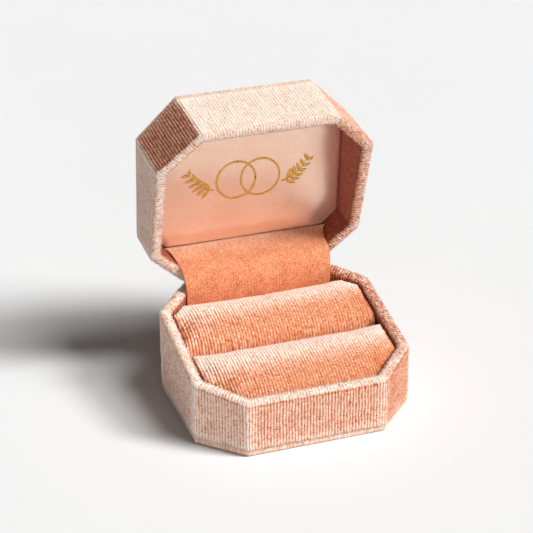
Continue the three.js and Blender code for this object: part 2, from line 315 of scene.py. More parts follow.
@dataclass(frozen=True)
class PlainFinish(Finish):
    """A finish whose colour and roughness drift a little over the surface."""

    dark: str
    light: str
    roughness: tuple[float, float]
    grain: float  # size of the drift
    metallic: float = 0.0
    ior: float = 1.5
    relief: float = 0.0
    stretch: tuple[float, float, float] = (1.0, 1.0, 1.0)

    def pattern(self, tree: bpy.types.NodeTree) -> dict:
        """Draws the grain.

        Args:
            tree: The material's node tree.

        Returns:
            Sockets for the height, the colour and the roughness.
        """
        place = add_node(tree, "ShaderNodeTexCoord").outputs["Object"]
        inputs = {"Vector": place, "Scale": self.stretch}
        drawn = add_node(tree, "ShaderNodeMapping", inputs).outputs["Vector"]
        inputs = {"Vector": drawn, "Scale": 1 / self.grain, "Detail": 5.0, "Roughness": 0.6}
        noise = add_node(tree, "ShaderNodeTexNoise", inputs).outputs["Fac"]
        colour = add_node(tree, "ShaderNodeValToRGB", {"Fac": noise})
        set_stops(colour.color_ramp, [(0.3, self.dark), (0.7, self.light)])
        low, high = self.roughness
        rough = add_node(tree, "ShaderNodeMapRange", {"Value": noise, "To Min": low, "To Max": high})
        return {
            "Height": noise,
            "Base Color": colour.outputs["Color"],
            "Roughness": rough.outputs["Result"],
        }

    def bump(self) -> dict:
        """Relief of the grain."""
        return {"Strength": self.relief, "Distance": 0.05 * MM}

    def surface(self) -> dict:
        """Metallic share and refraction."""
        return {"Metallic": self.metallic, "IOR": self.ior}


# Needle velvet in a pale peach: blush tips over an apricot ground.
OUTER_VELVET = NeedleVelvet(
    "peach_needle_velvet", deep="#983F20", ground="#B4603E", middle="#E6A27F", tip="#FFF0E2"
)
# The same cloth on the pads and the flap, its pile combed flatter, so the apricot shows.
PAD_VELVET = NeedleVelvet(
    "apricot_needle_velvet",
    deep="#A84A24",
    ground="#BE6940",
    middle="#E69C74",
    tip="#FFEFE2",
    contrast=0.8,
)
# The flap's velvet has been handled: its pile is rubbed flat in patches.
RUBBED_VELVET = NeedleVelvet(
    "rubbed_apricot_velvet",
    deep="#B05A34",
    ground="#C96F48",
    middle="#E99C72",
    tip="#FFD9BE",
    contrast=0.22,
    tufts=0.7,
    nap=0.4,
    nap_size=2.8 * MM,
)
# Pale pink polyester satin, woven: a broad soft gloss that takes up its neighbours' colour.
LINER_SATIN = DuchessSatin("duchess_satin", colour="#FFE0CB", shade="#F8CBB0")
# Hot-stamped metallised foil: a thin mirror over the cloth, broken by its grain.
GOLD_FOIL = PlainFinish(
    "gold_foil",
    dark="#C98A2B",
    light="#F3C766",
    roughness=(0.22, 0.4),
    grain=0.5 * MM,
    metallic=1.0,
    relief=0.3,
)
# Nickel-plated spring and sheet steel, bright, with drawing lines along the hinge.
NICKEL_STEEL = PlainFinish(
    "nickel_plated_steel",
    dark="#A9ABAE",
    light="#CFD1D3",
    roughness=(0.18, 0.36),
    grain=0.8 * MM,
    metallic=1.0,
    relief=0.08,
    stretch=(0.1, 1.0, 1.0),
)
# Moulded polystyrene shell, dull from the tool's spark-eroded texture.
MOULDED_STYRENE = PlainFinish(
    "moulded_polystyrene",
    dark="#221E1D",
    light="#2F2A28",
    roughness=(0.45, 0.6),
    grain=0.4 * MM,
    ior=1.59,
    relief=0.2,
)
# Grey chipboard with long fibres pressed into it.
CHIPBOARD = PlainFinish(
    "grey_chipboard",
    dark="#A18F78",
    light="#C2B199",
    roughness=(0.8, 0.95),
    grain=0.7 * MM,
    relief=0.5,
)
# Open-cell polyurethane foam and wadding.
FOAM = PlainFinish(
    "open_cell_foam",
    dark="#E2D8C4",
    light="#F6F0E3",
    roughness=(0.9, 1.0),
    grain=0.35 * MM,
    relief=0.8,
)
# Matt paper-covered table.
TABLE_PAPER = PlainFinish(
    "pale_table_paper", dark="#EBEBEB", light="#ECECEC", roughness=(0.85, 0.95), grain=60 * MM
)


# ---- The box's own measures ------------------------------------------------------------------


class Half(Enum):
    """The two halves of the box, with the way from a half's plate to its rim."""

    BASE = 1
    LID = -1

    @property
    def body(self) -> str:
        """Name of the frame's body that carries this half."""
        return self.name.lower()


@dataclass(frozen=True)
class BoxMeasures:
    """Sizes of the whole box, read from the frame with the lid turned shut."""

    width: float
    depth: float
    cut: float  # leg of a cut corner
    rise: float  # slope of the parting plane towards the back
    parting: float  # its height over the origin
    shut_height: float
    plate: float  # thickness of the foot plate and the lid's plate
    pin: tuple[float, float]  # y and z of the hinge pin
    opening: float  # radians

    @classmethod
    def from_frame(cls) -> "BoxMeasures":
        """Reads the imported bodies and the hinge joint.

        Returns:
            The measures.
        """
        joint = frame["joints"][0]
        pin = (joint["pos_m"][1], joint["pos_m"][2])
        opening = math.radians(joint["range_deg"][1])
        wrap = _points("base_velvet")
        high = wrap.max(axis=0)
        side = wrap[wrap[:, 0] > high[0] - 0.01 * MM]
        rim_front = wrap[wrap[:, 1] < wrap[:, 1].min() + 0.01 * MM][:, 2].max()
        rim_side = side[side[:, 1] > side[:, 1].max() - 0.01 * MM][:, 2].max()
        depth = high[1] - wrap[:, 1].min()
        rise = (rim_side - rim_front) / (side[:, 1].max() + depth / 2)
        parting = rim_front + rise * depth / 2 + 0.5 * RIM_GAP
        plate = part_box("foot_velvet")[1].z
        top = turn(_points("lid_top_velvet"), pin, opening)
        return cls(
            width=2 * high[0],
            depth=depth,
            cut=depth / 2 - side[:, 1].max(),
            rise=rise,
            parting=parting,
            shut_height=top[:, 2].max(),
            plate=plate,
            pin=pin,
            opening=opening,
        )

    def parting_at(self, y: np.ndarray) -> np.ndarray:
        """Height of the parting plane over y."""
        return self.parting + self.rise * y

    def end(self, half: Half) -> float:
        """Height of a half's plate face, lid shut."""
        return 0.0 if half is Half.BASE else self.shut_height

    def rim_at(self, half: Half, y: np.ndarray) -> np.ndarray:
        """Height of a half's rim over y: the parting plane, and the bevel behind the pin.

        Args:
            half: Base or lid.
            y: Places from front to back.

        Returns:
            Heights, lid shut.
        """
        slope = math.tan(math.atan(self.rise) - half.value * self.opening / 2)
        level = self.parting_at(y) - half.value * RIM_GAP / 2
        bevel = self.pin[1] + (y - self.pin[0]) * slope - half.value * RIM_GAP / 2
        return np.minimum(level, bevel) if half is Half.BASE else np.maximum(level, bevel)

    def stored(self, half: Half, points: np.ndarray) -> np.ndarray:
        """Points drawn with the lid shut, as the frame stores them: the lid's are turned open.

        Args:
            half: Base or lid.
            points: An array whose last axis is x, y, z.

        Returns:
            Rows of x, y, z.
        """
        rows = points.reshape(-1, 3)
        return rows if half is Half.BASE else turn(rows, self.pin, -self.opening)

    def round_pin(self, degrees: float, radius: float) -> tuple[float, float]:
        """Y and z of a place round the pin, by its angle from +Y."""
        angle = math.radians(degrees)
        return (self.pin[0] + radius * math.cos(angle), self.pin[1] + radius * math.sin(angle))

    def bend(self, piece: bpy.types.Object, radius: float, reach: float) -> None:
        """Bakes a piece's placing into its points.

        Args:
            piece: The piece.
            radius: Where it passes in front of the pin; not used.
            reach: Height over the pin from which it moves with the lid; not used.
        """
        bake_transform(piece)


def _points(node: str) -> np.ndarray:
    """Vertices of a node of the frame, in metres."""
    return np.array([v.co[:] for v in frame["nodes"][node].data.vertices], float)


def turn(points: np.ndarray, pin: tuple[float, float], angle: float) -> np.ndarray:
    """Turns points about the hinge pin.

    Args:
        points: Rows of x, y, z.
        pin: y and z of the pin.
        angle: Radians; positive shuts the lid, negative opens it.

    Returns:
        The turned points.
    """
    y, z = points[:, 1] - pin[0], points[:, 2] - pin[1]
    turned = points.copy()
    turned[:, 1] = pin[0] + y * math.cos(angle) - z * math.sin(angle)
    turned[:, 2] = pin[1] + y * math.sin(angle) + z * math.cos(angle)
    return turned


# ---- Mesh helpers ----------------------------------------------------------------------------


def grid_faces(rows: int, columns: int, close_rows: bool, close_columns: bool) -> np.ndarray:
    """Quads over a grid of points numbered row by row.

    Args:
        rows: Number of rows.
        columns: Points in a row.
        close_rows: Whether the last row joins the first.
        close_columns: Whether the last column joins the first.

    Returns:
        One line of four point numbers for each quad.
    """
    i = np.arange(rows if close_rows else rows - 1)
    j = np.arange(columns if close_columns else columns - 1)
    i, j = np.meshgrid(i, j, indexing="ij")
    below, right = (i + 1) % rows, (j + 1) % columns
    quads = (i * columns + j, i * columns + right, below * columns + right, below * columns + j)
    return np.stack([q.ravel() for q in quads], axis=1)


def grid_normals(points: np.ndarray, close_rows: bool, close_columns: bool) -> np.ndarray:
    """Unit normals of a grid of points, by differences along its rows and columns.

    Args:
        points: Rows by columns by three.
        close_rows: Whether the last row joins the first.
        close_columns: Whether the last column joins the first.

    Returns:
        Normals, the same shape, turned as the quads of grid_faces are.
    """
    tall = np.pad(points, ((1, 1), (0, 0), (0, 0)), mode="wrap" if close_rows else "edge")
    wide = np.pad(points, ((0, 0), (1, 1), (0, 0)), mode="wrap" if close_columns else "edge")
    normal = np.cross(wide[:, 2:] - wide[:, :-2], tall[2:] - tall[:-2])
    return normal / np.maximum(np.linalg.norm(normal, axis=2, keepdims=True), 1e-12)


def eased(share: np.ndarray) -> np.ndarray:
    """A share from 0 to 1 with a gentle start and end."""
    return share * share * (3 - 2 * share)


def value_noise(a: np.ndarray, b: np.ndarray, seed: int) -> np.ndarray:
    """Smooth repeatable noise over two coordinates.

    Args:
        a: First coordinate, in cells.
        b: Second coordinate, in cells.
        seed: Which pattern.

    Returns:
        Values from -1 to 1.
    """
    size = 256
    lattice = np.random.RandomState(seed).uniform(-1, 1, (size, size))
    ia, ib = np.floor(a).astype(int), np.floor(b).astype(int)
    fa, fb = eased(a - ia), eased(b - ib)
    edges = [[lattice[(ia + p) % size, (ib + q) % size] for p in (0, 1)] for q in (0, 1)]
    near, far = [first * (1 - fa) + second * fa for first, second in edges]
    return near * (1 - fb) + far * fb


def unit_vectors(angle: np.ndarray) -> np.ndarray:
    """Unit vectors at angles from the first axis."""
    return np.stack([np.cos(angle), np.sin(angle)], axis=-1)


def rib_height(across: np.ndarray, along: np.ndarray, seed: int) -> np.ndarray:
    """Height of the ribbed pile, from 0 in a groove to about 1 on a crest.

    Args:
        across: Distance across the ribs.
        along: Distance along them.
        seed: Which pattern of tufts.

    Returns:
        Heights: rounded crests and narrow grooves, wandering a little and broken into tufts.
    """
    wander = 0.14 * value_noise(across / (2 * RIB), along / (4 * MM), seed)
    crest = np.abs(np.sin(math.pi * (across / RIB + wander))) ** 0.8
    tuft = 0.42 * value_noise(across / RIB, along / (0.8 * MM), seed + 1)
    fibres = 0.16 * value_noise(across / (0.5 * RIB), along / (0.5 * MM), seed + 2)
    return crest * (1 + tuft) + fibres


def pile_place(across: np.ndarray, along: np.ndarray) -> np.ndarray:
    """Places on the flat cloth for the velvet's tufts, a little wider than long.

    Args:
        across: Distance across the ribs.
        along: Distance along them.

    Returns:
        Rows of three numbers.
    """
    return np.stack([across * 0.7, along, np.zeros_like(along)], axis=-1).reshape(-1, 3)


def mesh_object(
    name: str, points: np.ndarray, faces: np.ndarray, **values: np.ndarray
) -> bpy.types.Object:
    """Makes a smooth-shaded mesh object with point attributes.

    Args:
        name: The object's name.
        points: Rows of x, y, z.
        faces: Lines of point numbers.
        values: Attributes by name; one number or three for each point.

    Returns:
        The object, linked to the scene.
    """
    mesh = bpy.data.meshes.new(name)
    mesh.from_pydata(points.tolist(), [], faces.tolist())
    mesh.polygons.foreach_set("use_smooth", np.ones(len(mesh.polygons), bool))
    for key, value in values.items():
        kind, slot = ("FLOAT_VECTOR", "vector") if value.ndim == 2 else ("FLOAT", "value")
        attribute = mesh.attributes.new(key, kind, "POINT")
        attribute.data.foreach_set(slot, value.astype(np.float32).ravel())
    mesh.update()
    piece = bpy.data.objects.new(name, mesh)
    bpy.context.scene.collection.objects.link(piece)
    return piece


def clean(piece: bpy.types.Object, fill: bool = False) -> None:
    """Merges doubled points, drops empty faces, closes holes if asked and turns faces outwards.

    Args:
        piece: The mesh object.
        fill: Whether to close open edges.
    """
    work = bmesh.new()
    work.from_mesh(piece.data)
    bmesh.ops.remove_doubles(work, verts=work.verts, dist=0.002 * MM)
    bmesh.ops.dissolve_degenerate(work, edges=work.edges, dist=0.001 * MM)
    if fill:
        bmesh.ops.holes_fill(work, edges=[e for e in work.edges if e.is_boundary], sides=0)
    bmesh.ops.recalc_face_normals(work, faces=work.faces)
    work.to_mesh(piece.data)
    work.free()
    piece.data.polygons.foreach_set("use_smooth", np.ones(len(piece.data.polygons), bool))
    piece.data.update()


def finish_piece(
    piece: bpy.types.Object,
    finish: Finish,
    half: Optional[Half] = None,
    replaced: Sequence[str] = (),
) -> bpy.types.Object:
    """Dresses a piece, hangs it on its body and reports it.

    Args:
        piece: The piece.
        finish: Its finish.
        half: The half it rides on, or None, and then it is hung on no body.
        replaced: Frame nodes that it stands for.

    Returns:
        The piece.
    """
    piece.data.materials.clear()
    piece.data.materials.append(finish.material())
    if replaced:
        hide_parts(*replaced)
    if half:
        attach(piece, half.body)
    log.info("%s: %d faces, %s", piece.name, len(piece.data.polygons), finish.name)
    return piece


def dress(node: str, finish: Finish) -> None:
    """Gives a frame node that stays a finish of its own.

    Args:
        node: Its name.
        finish: The finish.
    """
    target = frame["nodes"][node]
    target.data.materials.clear()
    target.data.materials.append(finish.material())
    log.info("%s: %s", node, finish.name)


# ---- The octagonal plan ----------------------------------------------------------------------


@dataclass(frozen=True)
class OctagonPlan:
    """The box's plan: eight sides with softened corners, walked anticlockwise from +X."""

    width: float
    depth: float
    cut: float
    corner_radius: float = 2.0 * MM
    least_radius: float = 0.3 * MM
    tightening: float = 0.45  # how fast the cloth's bend tightens inwards

    SIDES = 8
    TURN = math.pi / 4  # from one side to the next
    TRIM = math.tan(math.pi / 8)  # what a rounded corner takes off a side, over its radius

    def out(self, side: int) -> np.ndarray:
        """Unit vector out of a side."""
        return np.array([math.cos(side * self.TURN), math.sin(side * self.TURN)])

    def offset(self, side: int) -> float:
        """Distance of a side from the middle.

        Args:
            side: Its number.

        Returns:
            The distance.
        """
        if side % 2:
            return (self.width / 2 + self.depth / 2 - self.cut) / math.sqrt(2)
        return (self.width if side % 4 == 0 else self.depth) / 2

    def corner(self, side: int, inset: float) -> np.ndarray:
        """Where a side meets the next one.

        Args:
            side: The side's number.
            inset: Distance inside the outline.

        Returns:
            x, y.
        """
        faces = np.array([self.out(side), self.out(side + 1)])
        reach = [self.offset(side) - inset, self.offset((side + 1) % self.SIDES) - inset]
        return np.linalg.solve(faces, reach)

    def radius(self, inset: float) -> float:
        """Corner radius at an inset."""
        return max(self.corner_radius - self.tightening * inset, self.least_radius)

    def lengths(self) -> np.ndarray:
        """Lengths of the straight and the curved stretches in turn, on the outside.

        Returns:
            Two for each side.
        """
        result = []
        for side in range(self.SIDES):
            whole = np.linalg.norm(self.corner(side, 0) - self.corner(side - 1, 0))
            result.append(whole - 2 * self.corner_radius * self.TRIM)
            result.append(self.corner_radius * self.TURN)
        return np.array(result)

    def walk(self, count: int) -> tuple[np.ndarray, np.ndarray, np.ndarray]:
        """Even steps round the outside.

        Args:
            count: Number of steps.

        Returns:
            Distance, stretch number and share of that stretch, for each step.
        """
        lengths = self.lengths()
        ends = np.cumsum(lengths)
        distance = np.arange(count) * ends[-1] / count
        stretch = np.searchsorted(ends, distance, side="right")
        share = (distance - (ends[stretch] - lengths[stretch])) / lengths[stretch]
        return distance, stretch, share

    def place(self, stretch: np.ndarray, share: np.ndarray, inset: float) -> np.ndarray:
        """Points at an inset that answer to steps of walk.

        Args:
            stretch: Stretch numbers.
            share: Shares of those stretches.
            inset: Distance inside the outline.

        Returns:
            Rows of x, y.
        """
        radius = self.radius(inset)
        result = np.zeros((len(stretch), 2))
        for side in range(self.SIDES):
            out = self.out(side)
            trim = radius * self.TRIM * np.array([-out[1], out[0]])
            start, stop = self.corner(side - 1, inset) + trim, self.corner(side, inset) - trim
            straight = stretch == 2 * side
            result[straight] = start + share[straight, None] * (stop - start)
            bend = stretch == 2 * side + 1
            turned = (side + share[bend]) * self.TURN
            result[bend] = stop + radius * (unit_vectors(turned) - out)
        return result

    def half_depth(self, x: np.ndarray, inset: float) -> np.ndarray:
        """How far the outline reaches along Y.

        Args:
            x: Places across the box.
            inset: Distance inside the outline.

        Returns:
            Half the depth at each x.
        """
        slant = math.sqrt(2) * (self.offset(1) - inset) - np.abs(x)
        return np.minimum(self.depth / 2 - inset, slant)

    def inside(self, x: np.ndarray, y: np.ndarray, inset: float) -> np.ndarray:
        """Distance inside the nearest side of the inset outline.

        Args:
            x: Places across the box.
            y: Places from front to back.
            inset: Distance of that outline inside the full one.

        Returns:
            Distances, negative outside.
        """
        gaps = []
        for side in range(self.SIDES):
            out = self.out(side)
            gaps.append(self.offset(side) - inset - (x * out[0] + y * out[1]))
        return np.minimum.reduce(gaps)


# ---- Velvet over the shells ------------------------------------------------------------------


@dataclass(frozen=True)
class PathRow:
    """One row of a wrap's cross-section."""

    inset: float  # from the outside of the wall
    climb: float  # share of the way from the plate to the rim
    setback: float  # below the rim, added where climb is 1
    ribs: float  # share of the full rib height
    bloom: float  # change of paleness
    rim: float = 0.0  # share of the rim's own paleness


@dataclass
class VelvetWrap:
    """The one piece of velvet up the outside of a half, over its rim and down the inside."""

    half: Half
    measures: BoxMeasures
    plan: OctagonPlan
    side_painted_light: tuple[float, ...]  # painted light and shade of the pile by side, anticlockwise from +X: paler where it took the light, darker in shade
    rim_painted_light: tuple[float, ...]  # painted light and shade of the rim, by side
    # painted shade of the lining inside the half
    inner_painted_shade: float
    seed: int  # pattern of the ribs
    lock_seed: int  # places of the stray locks
    pile: float = 0.8 * MM
    rib_depth: float = 0.25 * MM
    rib_level: float = 0.85  # height of a rib that lies on the smooth wrap
    rim_height: float = 1.3 * MM  # height of the rolled rim
    rim_bulge: float = 0.3 * MM  # how far its pile leans inwards
    rim_power: float = 2.4  # 2 is a round rim, more is squarer
    rim_degrees: tuple[int, ...] = (16, 28, 40, 52, 64, 78, 90, 104, 118, 132, 146, 160, 172)
    outside_rows: int = 24
    inside_rows: int = 14
    crease: float = 0.1 * MM  # groove where the pile parts below the rim
    corner_painted_sheen: float = 0.16  # paler round each corner: painted sheen where the pile spreads open over the bend
    corner_share: float = 1 / 14  # of a side, over which that fades
    tousle: float = 0.3  # how far the bent pile on the rim parts into pale and deep tufts
    rim_locks: int = 8000  # stray locks of pile
    wall_locks: int = 9000
    foot_locks: int = 9000  # over the joint with the plate
    foot_rows: int = 3
    lock_width: float = 0.14 * MM  # drawn coarser than a lock so that it shows
    lock_shades: float = 0.5  # how far one lock is paler or darker than its neighbours
    lock_painted_glint: float = 0.2  # how much paler a lock is than the pile it leaves: painted glint
    lock_room: float = 0.13 * MM  # how far a lock may stand past the rim
    notch_half_width: float = 13.3 * MM  # room for the hinge barrel
    notch_depth: float = 1.5 * MM
    notch_edge: float = 0.4 * MM
    leaf_depth: float = 6.9 * MM
    leaf_room: float = 0.75 * MM  # how far the leaf presses the lining in

    def rows(self) -> list[PathRow]:
        """The cross-section, from the foot over the rim and back under the cloth.

        Returns:
            Its rows, round to where they began.
        """
        rows = [PathRow(0.2 * MM, 0, 0, 0.6, 0.12), PathRow(0.06 * MM, 0.02, 0, 0.9, 0.18)]
        for climb in np.linspace(0.05, 1, self.outside_rows):
            paler_foot = max(0.0, 0.2 - climb) * 1.1
            rows.append(PathRow(0, climb, self.rim_height, 1, paler_foot))
        # painted shade: the crease below the rim is painted darker
        rows.append(PathRow(self.crease, 1, self.rim_height - 0.3 * MM, 0.6, -0.08))
        rows.extend(self._rim_row(degrees) for degrees in self.rim_degrees)
        for climb in np.linspace(1, 0.02, self.inside_rows):
            bulge = self.rim_bulge * max(0.0, (climb - 0.75) / 0.25)
            rows.append(PathRow(WALL + bulge, climb, self.rim_height, 0.8, 0))
        rows.append(PathRow(WALL - 0.5 * MM, 0.02, 0, 0, 0))
        rows.append(PathRow(WALL - 0.55 * MM, 1, 1.2 * MM, 0, 0))
        rows.append(PathRow(self.pile + 0.1 * MM, 1, 1.2 * MM, 0, 0))
        rows.append(PathRow(self.pile, 0.5, 0, 0, 0))
        rows.append(PathRow(self.pile, 0, 0, 0, 0))
        return rows

    def _rim_row(self, degrees: float) -> PathRow:
        """One row of the rolled rim.

        Args:
            degrees: From the outside of the wall, over the top, to the inside.

        Returns:
            The row.
        """
        angle = math.radians(degrees)
        power = 2 / self.rim_power
        reach = abs(math.cos(angle)) ** power
        if degrees < 90:
            inset = WALL / 2 * (1 - reach) + self.crease * (1 - math.sin(angle)) ** 2
        else:
            inset = WALL / 2 + (WALL / 2 + self.rim_bulge) * reach
        setback = self.rim_height * (1 - math.sin(angle) ** power)
        outer = min(1.0, max(0.0, (degrees - 18) / 25))
        inner = min(1.0, max(0.0, (degrees - 135) / 40))
        # painted shade: the rim's outer foot, next to the crease, is painted darker
        return PathRow(inset, 1, setback, 0.95, -0.08 * (1 - outer), outer * (1 - inner))

    def build(self) -> bpy.types.Object:
        """Makes the wrap and puts it on its half.

        Returns:
            The wrap.
        """
        count = round(self.plan.lengths().sum() / RIB) * STEPS_PER_RIB
        distance, stretch, share = self.plan.walk(count)
        walls = self._by_side(self.side_painted_light, stretch, share)
        rims = self._by_side(self.rim_painted_light, stretch, share)
        rows = self.rows()
        points = np.array([self._line(row, stretch, share) for row in rows])
        steps = np.median(np.linalg.norm(np.diff(points, axis=0), axis=2), axis=1)
        along = np.concatenate([[0], np.cumsum(steps)])[:, None] + np.zeros(count)
        ribs = np.array([row.ribs * (1 - 0.15 * row.rim) for row in rows])[:, None]
        rim = np.array([row.rim for row in rows])[:, None] + np.zeros(count)
        inner = np.array([row.inset > WALL / 2 for row in rows])[:, None]
        # the lining inside takes the painted shade
        level = np.where(inner, self.inner_painted_shade, walls)
        change = np.array([row.bloom for row in rows])[:, None]
        bloom = level + rim * (rims - level) + change
        return self._cloth(points, ribs, bloom, along, rim, distance)

    def _line(self, row: PathRow, stretch: np.ndarray, share: np.ndarray) -> np.ndarray:
        """One row of the cross-section, carried round the box.

        Args:
            row: The row.
            stretch: Stretch numbers from the plan's walk.
            share: Shares of those stretches.

        Returns:
            Rows of x, y, z, lid shut.
        """
        m, sign = self.measures, self.half.value
        lift = SHELL_FLOOR + 0.1 * MM if row.inset > WALL / 2 else 0.02 * MM
        start = m.end(self.half) + sign * (m.plate + lift)
        flat = self.plan.place(stretch, share, row.inset)
        rim = self._over_hinge(flat, m.rim_at(self.half, flat[:, 1]) - sign * row.setback)
        z = start + row.climb * (rim - start)
        return np.column_stack([self._behind_leaf(flat, z), z])

    def _by_side(
        self, values: tuple[float, ...], stretch: np.ndarray, share: np.ndarray
    ) -> np.ndarray:
        """Painted light and shade round the box, blended round the corners and raised at each of
        them.

        Args:
            values: One value for each side.
            stretch: Stretch numbers from the plan's walk.
            share: Shares of those stretches.

        Returns:
            One value for each step of the walk.
        """
        side = stretch // 2
        here = np.array(values)[side % 8]
        following = np.array(values)[(side + 1) % 8]
        bend = stretch % 2 == 1
        blended = here + np.where(bend, share, 0) * (following - here)
        to_corner = np.minimum(share, 1 - share) / self.corner_share
        near_corner = np.where(bend, 1.0, np.maximum(1 - to_corner, 0))
        # painted sheen at each corner
        return blended + self.corner_painted_sheen * near_corner

    def _over_hinge(self, flat: np.ndarray, rim: np.ndarray) -> np.ndarray:
        """Lowers the back of the rim where the hinge barrel lies.

        Args:
            flat: Rows of x, y.
            rim: Heights of the rim there.

        Returns:
            The new heights.
        """
        sign, pin = self.half.value, self.measures.pin
        notch = pin[1] - sign * self.notch_depth
        edge = (self.notch_half_width + self.notch_edge - np.abs(flat[:, 0])) / self.notch_edge
        share = np.clip(edge, 0, 1) * (flat[:, 1] > 0)
        lowered = np.minimum(rim * sign, notch * sign) * sign
        return rim + share * (lowered - rim)

    def _behind_leaf(self, flat: np.ndarray, z: np.ndarray) -> np.ndarray:
        """Presses the lining flat where a hinge leaf lies on it.

        Args:
            flat: Rows of x, y.
            z: Their heights.

        Returns:
            The new rows of x, y.
        """
        sign, pin = self.half.value, self.measures.pin
        wall_face = self.measures.depth / 2 - WALL + self.leaf_room
        beside = np.abs(flat[:, 0]) < self.notch_half_width
        level = sign * (z - pin[1]) > -self.leaf_depth
        pressed = beside & level & (flat[:, 1] > 0) & (flat[:, 1] < wall_face)
        moved = flat.copy()
        moved[pressed, 1] = wall_face
        return moved

    def _cloth(
        self,
        points: np.ndarray,
        ribs: np.ndarray,
        bloom: np.ndarray,
        along: np.ndarray,
        rim: np.ndarray,
        distance: np.ndarray,
    ) -> bpy.types.Object:
        """Raises the ribs on the smooth wrap and makes the mesh.

        Args:
            points: The smooth wrap, row by row.
            ribs: Share of the full rib height.
            bloom: Paleness, mostly painted light and shade.
            along: Distance along the ribs.
            rim: Share of the rim.
            distance: Distance across the ribs, for each column.

        Returns:
            The wrap.
        """
        body = self.half.body
        across = np.broadcast_to(distance, along.shape)
        height = rib_height(across, along, self.seed)
        normals = grid_normals(points, True, True) * self.half.value
        raised = points + normals * ((height - self.rib_level) * self.rib_depth * ribs)[..., None]
        shown = np.clip(height * np.maximum(ribs, 0.4), 0, 1) * (1 + 0.25 * rim) - 0.1 * rim
        tufts = value_noise(across / (0.5 * MM), along / (0.4 * MM), self.seed + 5)
        bloom = bloom + self.tousle * rim * tufts
        piece = mesh_object(
            f"{body}_velvet_wrap",
            self.measures.stored(self.half, raised),
            grid_faces(*along.shape, True, True),
            rib=shown.ravel(),
            bloom=bloom.ravel(),
            pile=pile_place(across, along),
        )
        self._stray_pile(raised, normals, bloom, rim)
        clean(piece)
        finish_piece(piece, OUTER_VELVET, self.half, [f"{body}_velvet"])
        size = (float(self.plan.lengths().sum()), float(along[-1, 0]) * 0.5)
        return piece

    def _stray_pile(
        self, points: np.ndarray, normals: np.ndarray, bloom: np.ndarray, rim: np.ndarray
    ) -> None:
        """Scatters stray locks of pile, thick on the rim and the foot and thin on the walls.

        Args:
            points: The ribbed wrap, row by row.
            normals: Its normals.
            bloom: Its paleness, mostly painted light and shade.
            rim: Share of the rim.
        """
        dice = np.random.RandomState(self.lock_seed)
        outside = np.arange(len(points))[:, None] < self.outside_rows + 2
        wanted = self.rim_locks * (rim > 0.3) / (rim > 0.3).sum()
        wanted = wanted + self.wall_locks * outside / (outside.sum() * points.shape[1])
        wanted[: self.foot_rows] += self.foot_locks / (self.foot_rows * points.shape[1])
        chosen = dice.random_sample(bloom.shape) < wanted
        root, out = points[chosen], normals[chosen]
        lean = dice.normal(0, 0.75, root.shape)
        way = out + lean - 0.3 * (lean * out).sum(axis=1, keepdims=True) * out
        way /= np.linalg.norm(way, axis=1, keepdims=True)
        way += np.maximum(0, 0.15 - (way * out).sum(axis=1, keepdims=True)) * out
        length = dice.uniform(0.3, 0.6 + 0.35 * rim[chosen]) * MM
        tip = root + way * length[:, None]
        beside = np.cross(way, dice.normal(0, 1, root.shape))
        beside *= self.lock_width / 2 / np.linalg.norm(beside, axis=1, keepdims=True)
        third = np.cross(way, beside)
        locks = np.stack([root + beside, root - beside, root + 1.6 * third, tip], axis=1)
        locks = locks.reshape(-1, 3)
        sign = self.half.value
        most = self.measures.rim_at(self.half, locks[:, 1]) + sign * self.lock_room
        locks[:, 2] = sign * np.minimum(sign * locks[:, 2], sign * most)
        corner = 4 * np.arange(len(root))[:, None, None]
        faces = np.array([[0, 1, 3], [1, 2, 3], [2, 0, 3], [0, 2, 1]]) + corner
        locks = self.measures.stored(self.half, locks)
        shades = dice.uniform(-1, 1, len(root)) * self.lock_shades * (0.5 + 0.5 * rim[chosen])
        piece = mesh_object(
            f"{self.half.body}_stray_pile",
            locks,
            faces.reshape(-1, 3),
            rib=np.full(len(locks), 0.6),
            # painted glint on each lock
            bloom=np.repeat(bloom[chosen] + self.lock_painted_glint + shades, 4),
            pile=locks,
        )
        finish_piece(piece, OUTER_VELVET, self.half)


# ---- Plates, pads and liner: crowned slabs ---------------------------------------------------


@dataclass(frozen=True)
class CrownedSlab:
    """A slab over a column-by-column outline, with its edges turned down."""

    columns: np.ndarray  # x of each column
    front: np.ndarray  # y of the front edge at each column
    back: np.ndarray  # y of the back edge at each column
    rows: np.ndarray  # shares from front to back
    skirt: np.ndarray  # depths of the turned-down edge, from the face down

    def grid(self) -> tuple[np.ndarray, np.ndarray, np.ndarray]:
        """Places of the face and of its skirt.

        Returns:
            x, y, and the depth of each place below the face's edge.
        """
        outline = (self.columns, self.front, self.back, self.rows)
        columns, front, back, rows = [np.pad(v, len(self.skirt), mode="edge") for v in outline]
        down, drop = [
            np.concatenate([self.skirt[::-1], np.zeros(len(flat)), self.skirt])
            for flat in (self.columns, self.rows)
        ]
        x = np.broadcast_to(columns, (len(rows), len(columns)))
        y = front + rows[:, None] * (back - front)
        return x, y, np.maximum(drop[:, None], down)


def spread(low: float, high: float, step: float, edge: float, edge_steps: int = 8) -> np.ndarray:
    """Even steps with finer ones near both ends.

    Args:
        low: First value.
        high: Last value.
        step: Size of the even steps.
        edge: Length at each end that has finer steps.
        edge_steps: How many of those there are.

    Returns:
        The values.
    """
    count = max(2, round((high - low - 2 * edge) / step) + 1)
    middle = np.linspace(low + edge, high - edge, count)
    shares = 1 - np.cos(np.linspace(0, math.pi / 2, edge_steps, endpoint=False))
    return np.concatenate([low + edge * shares, middle, (high - edge * shares)[::-1]])


def round_edge(distance: np.ndarray, radius: float) -> np.ndarray:
    """How far a rounded edge falls below the face, by distance inside the edge."""
    gap = np.clip(radius - distance, 0, radius)
    return radius - np.sqrt(np.maximum(radius**2 - gap**2, 0))


def soft_fall(distance: np.ndarray, radius: float) -> np.ndarray:
    """How far a softly rounded edge falls below the face, by distance inside the edge."""
    share = np.clip(distance / radius, 0, 1)
    return radius * (1 - np.sqrt(share)) ** 2


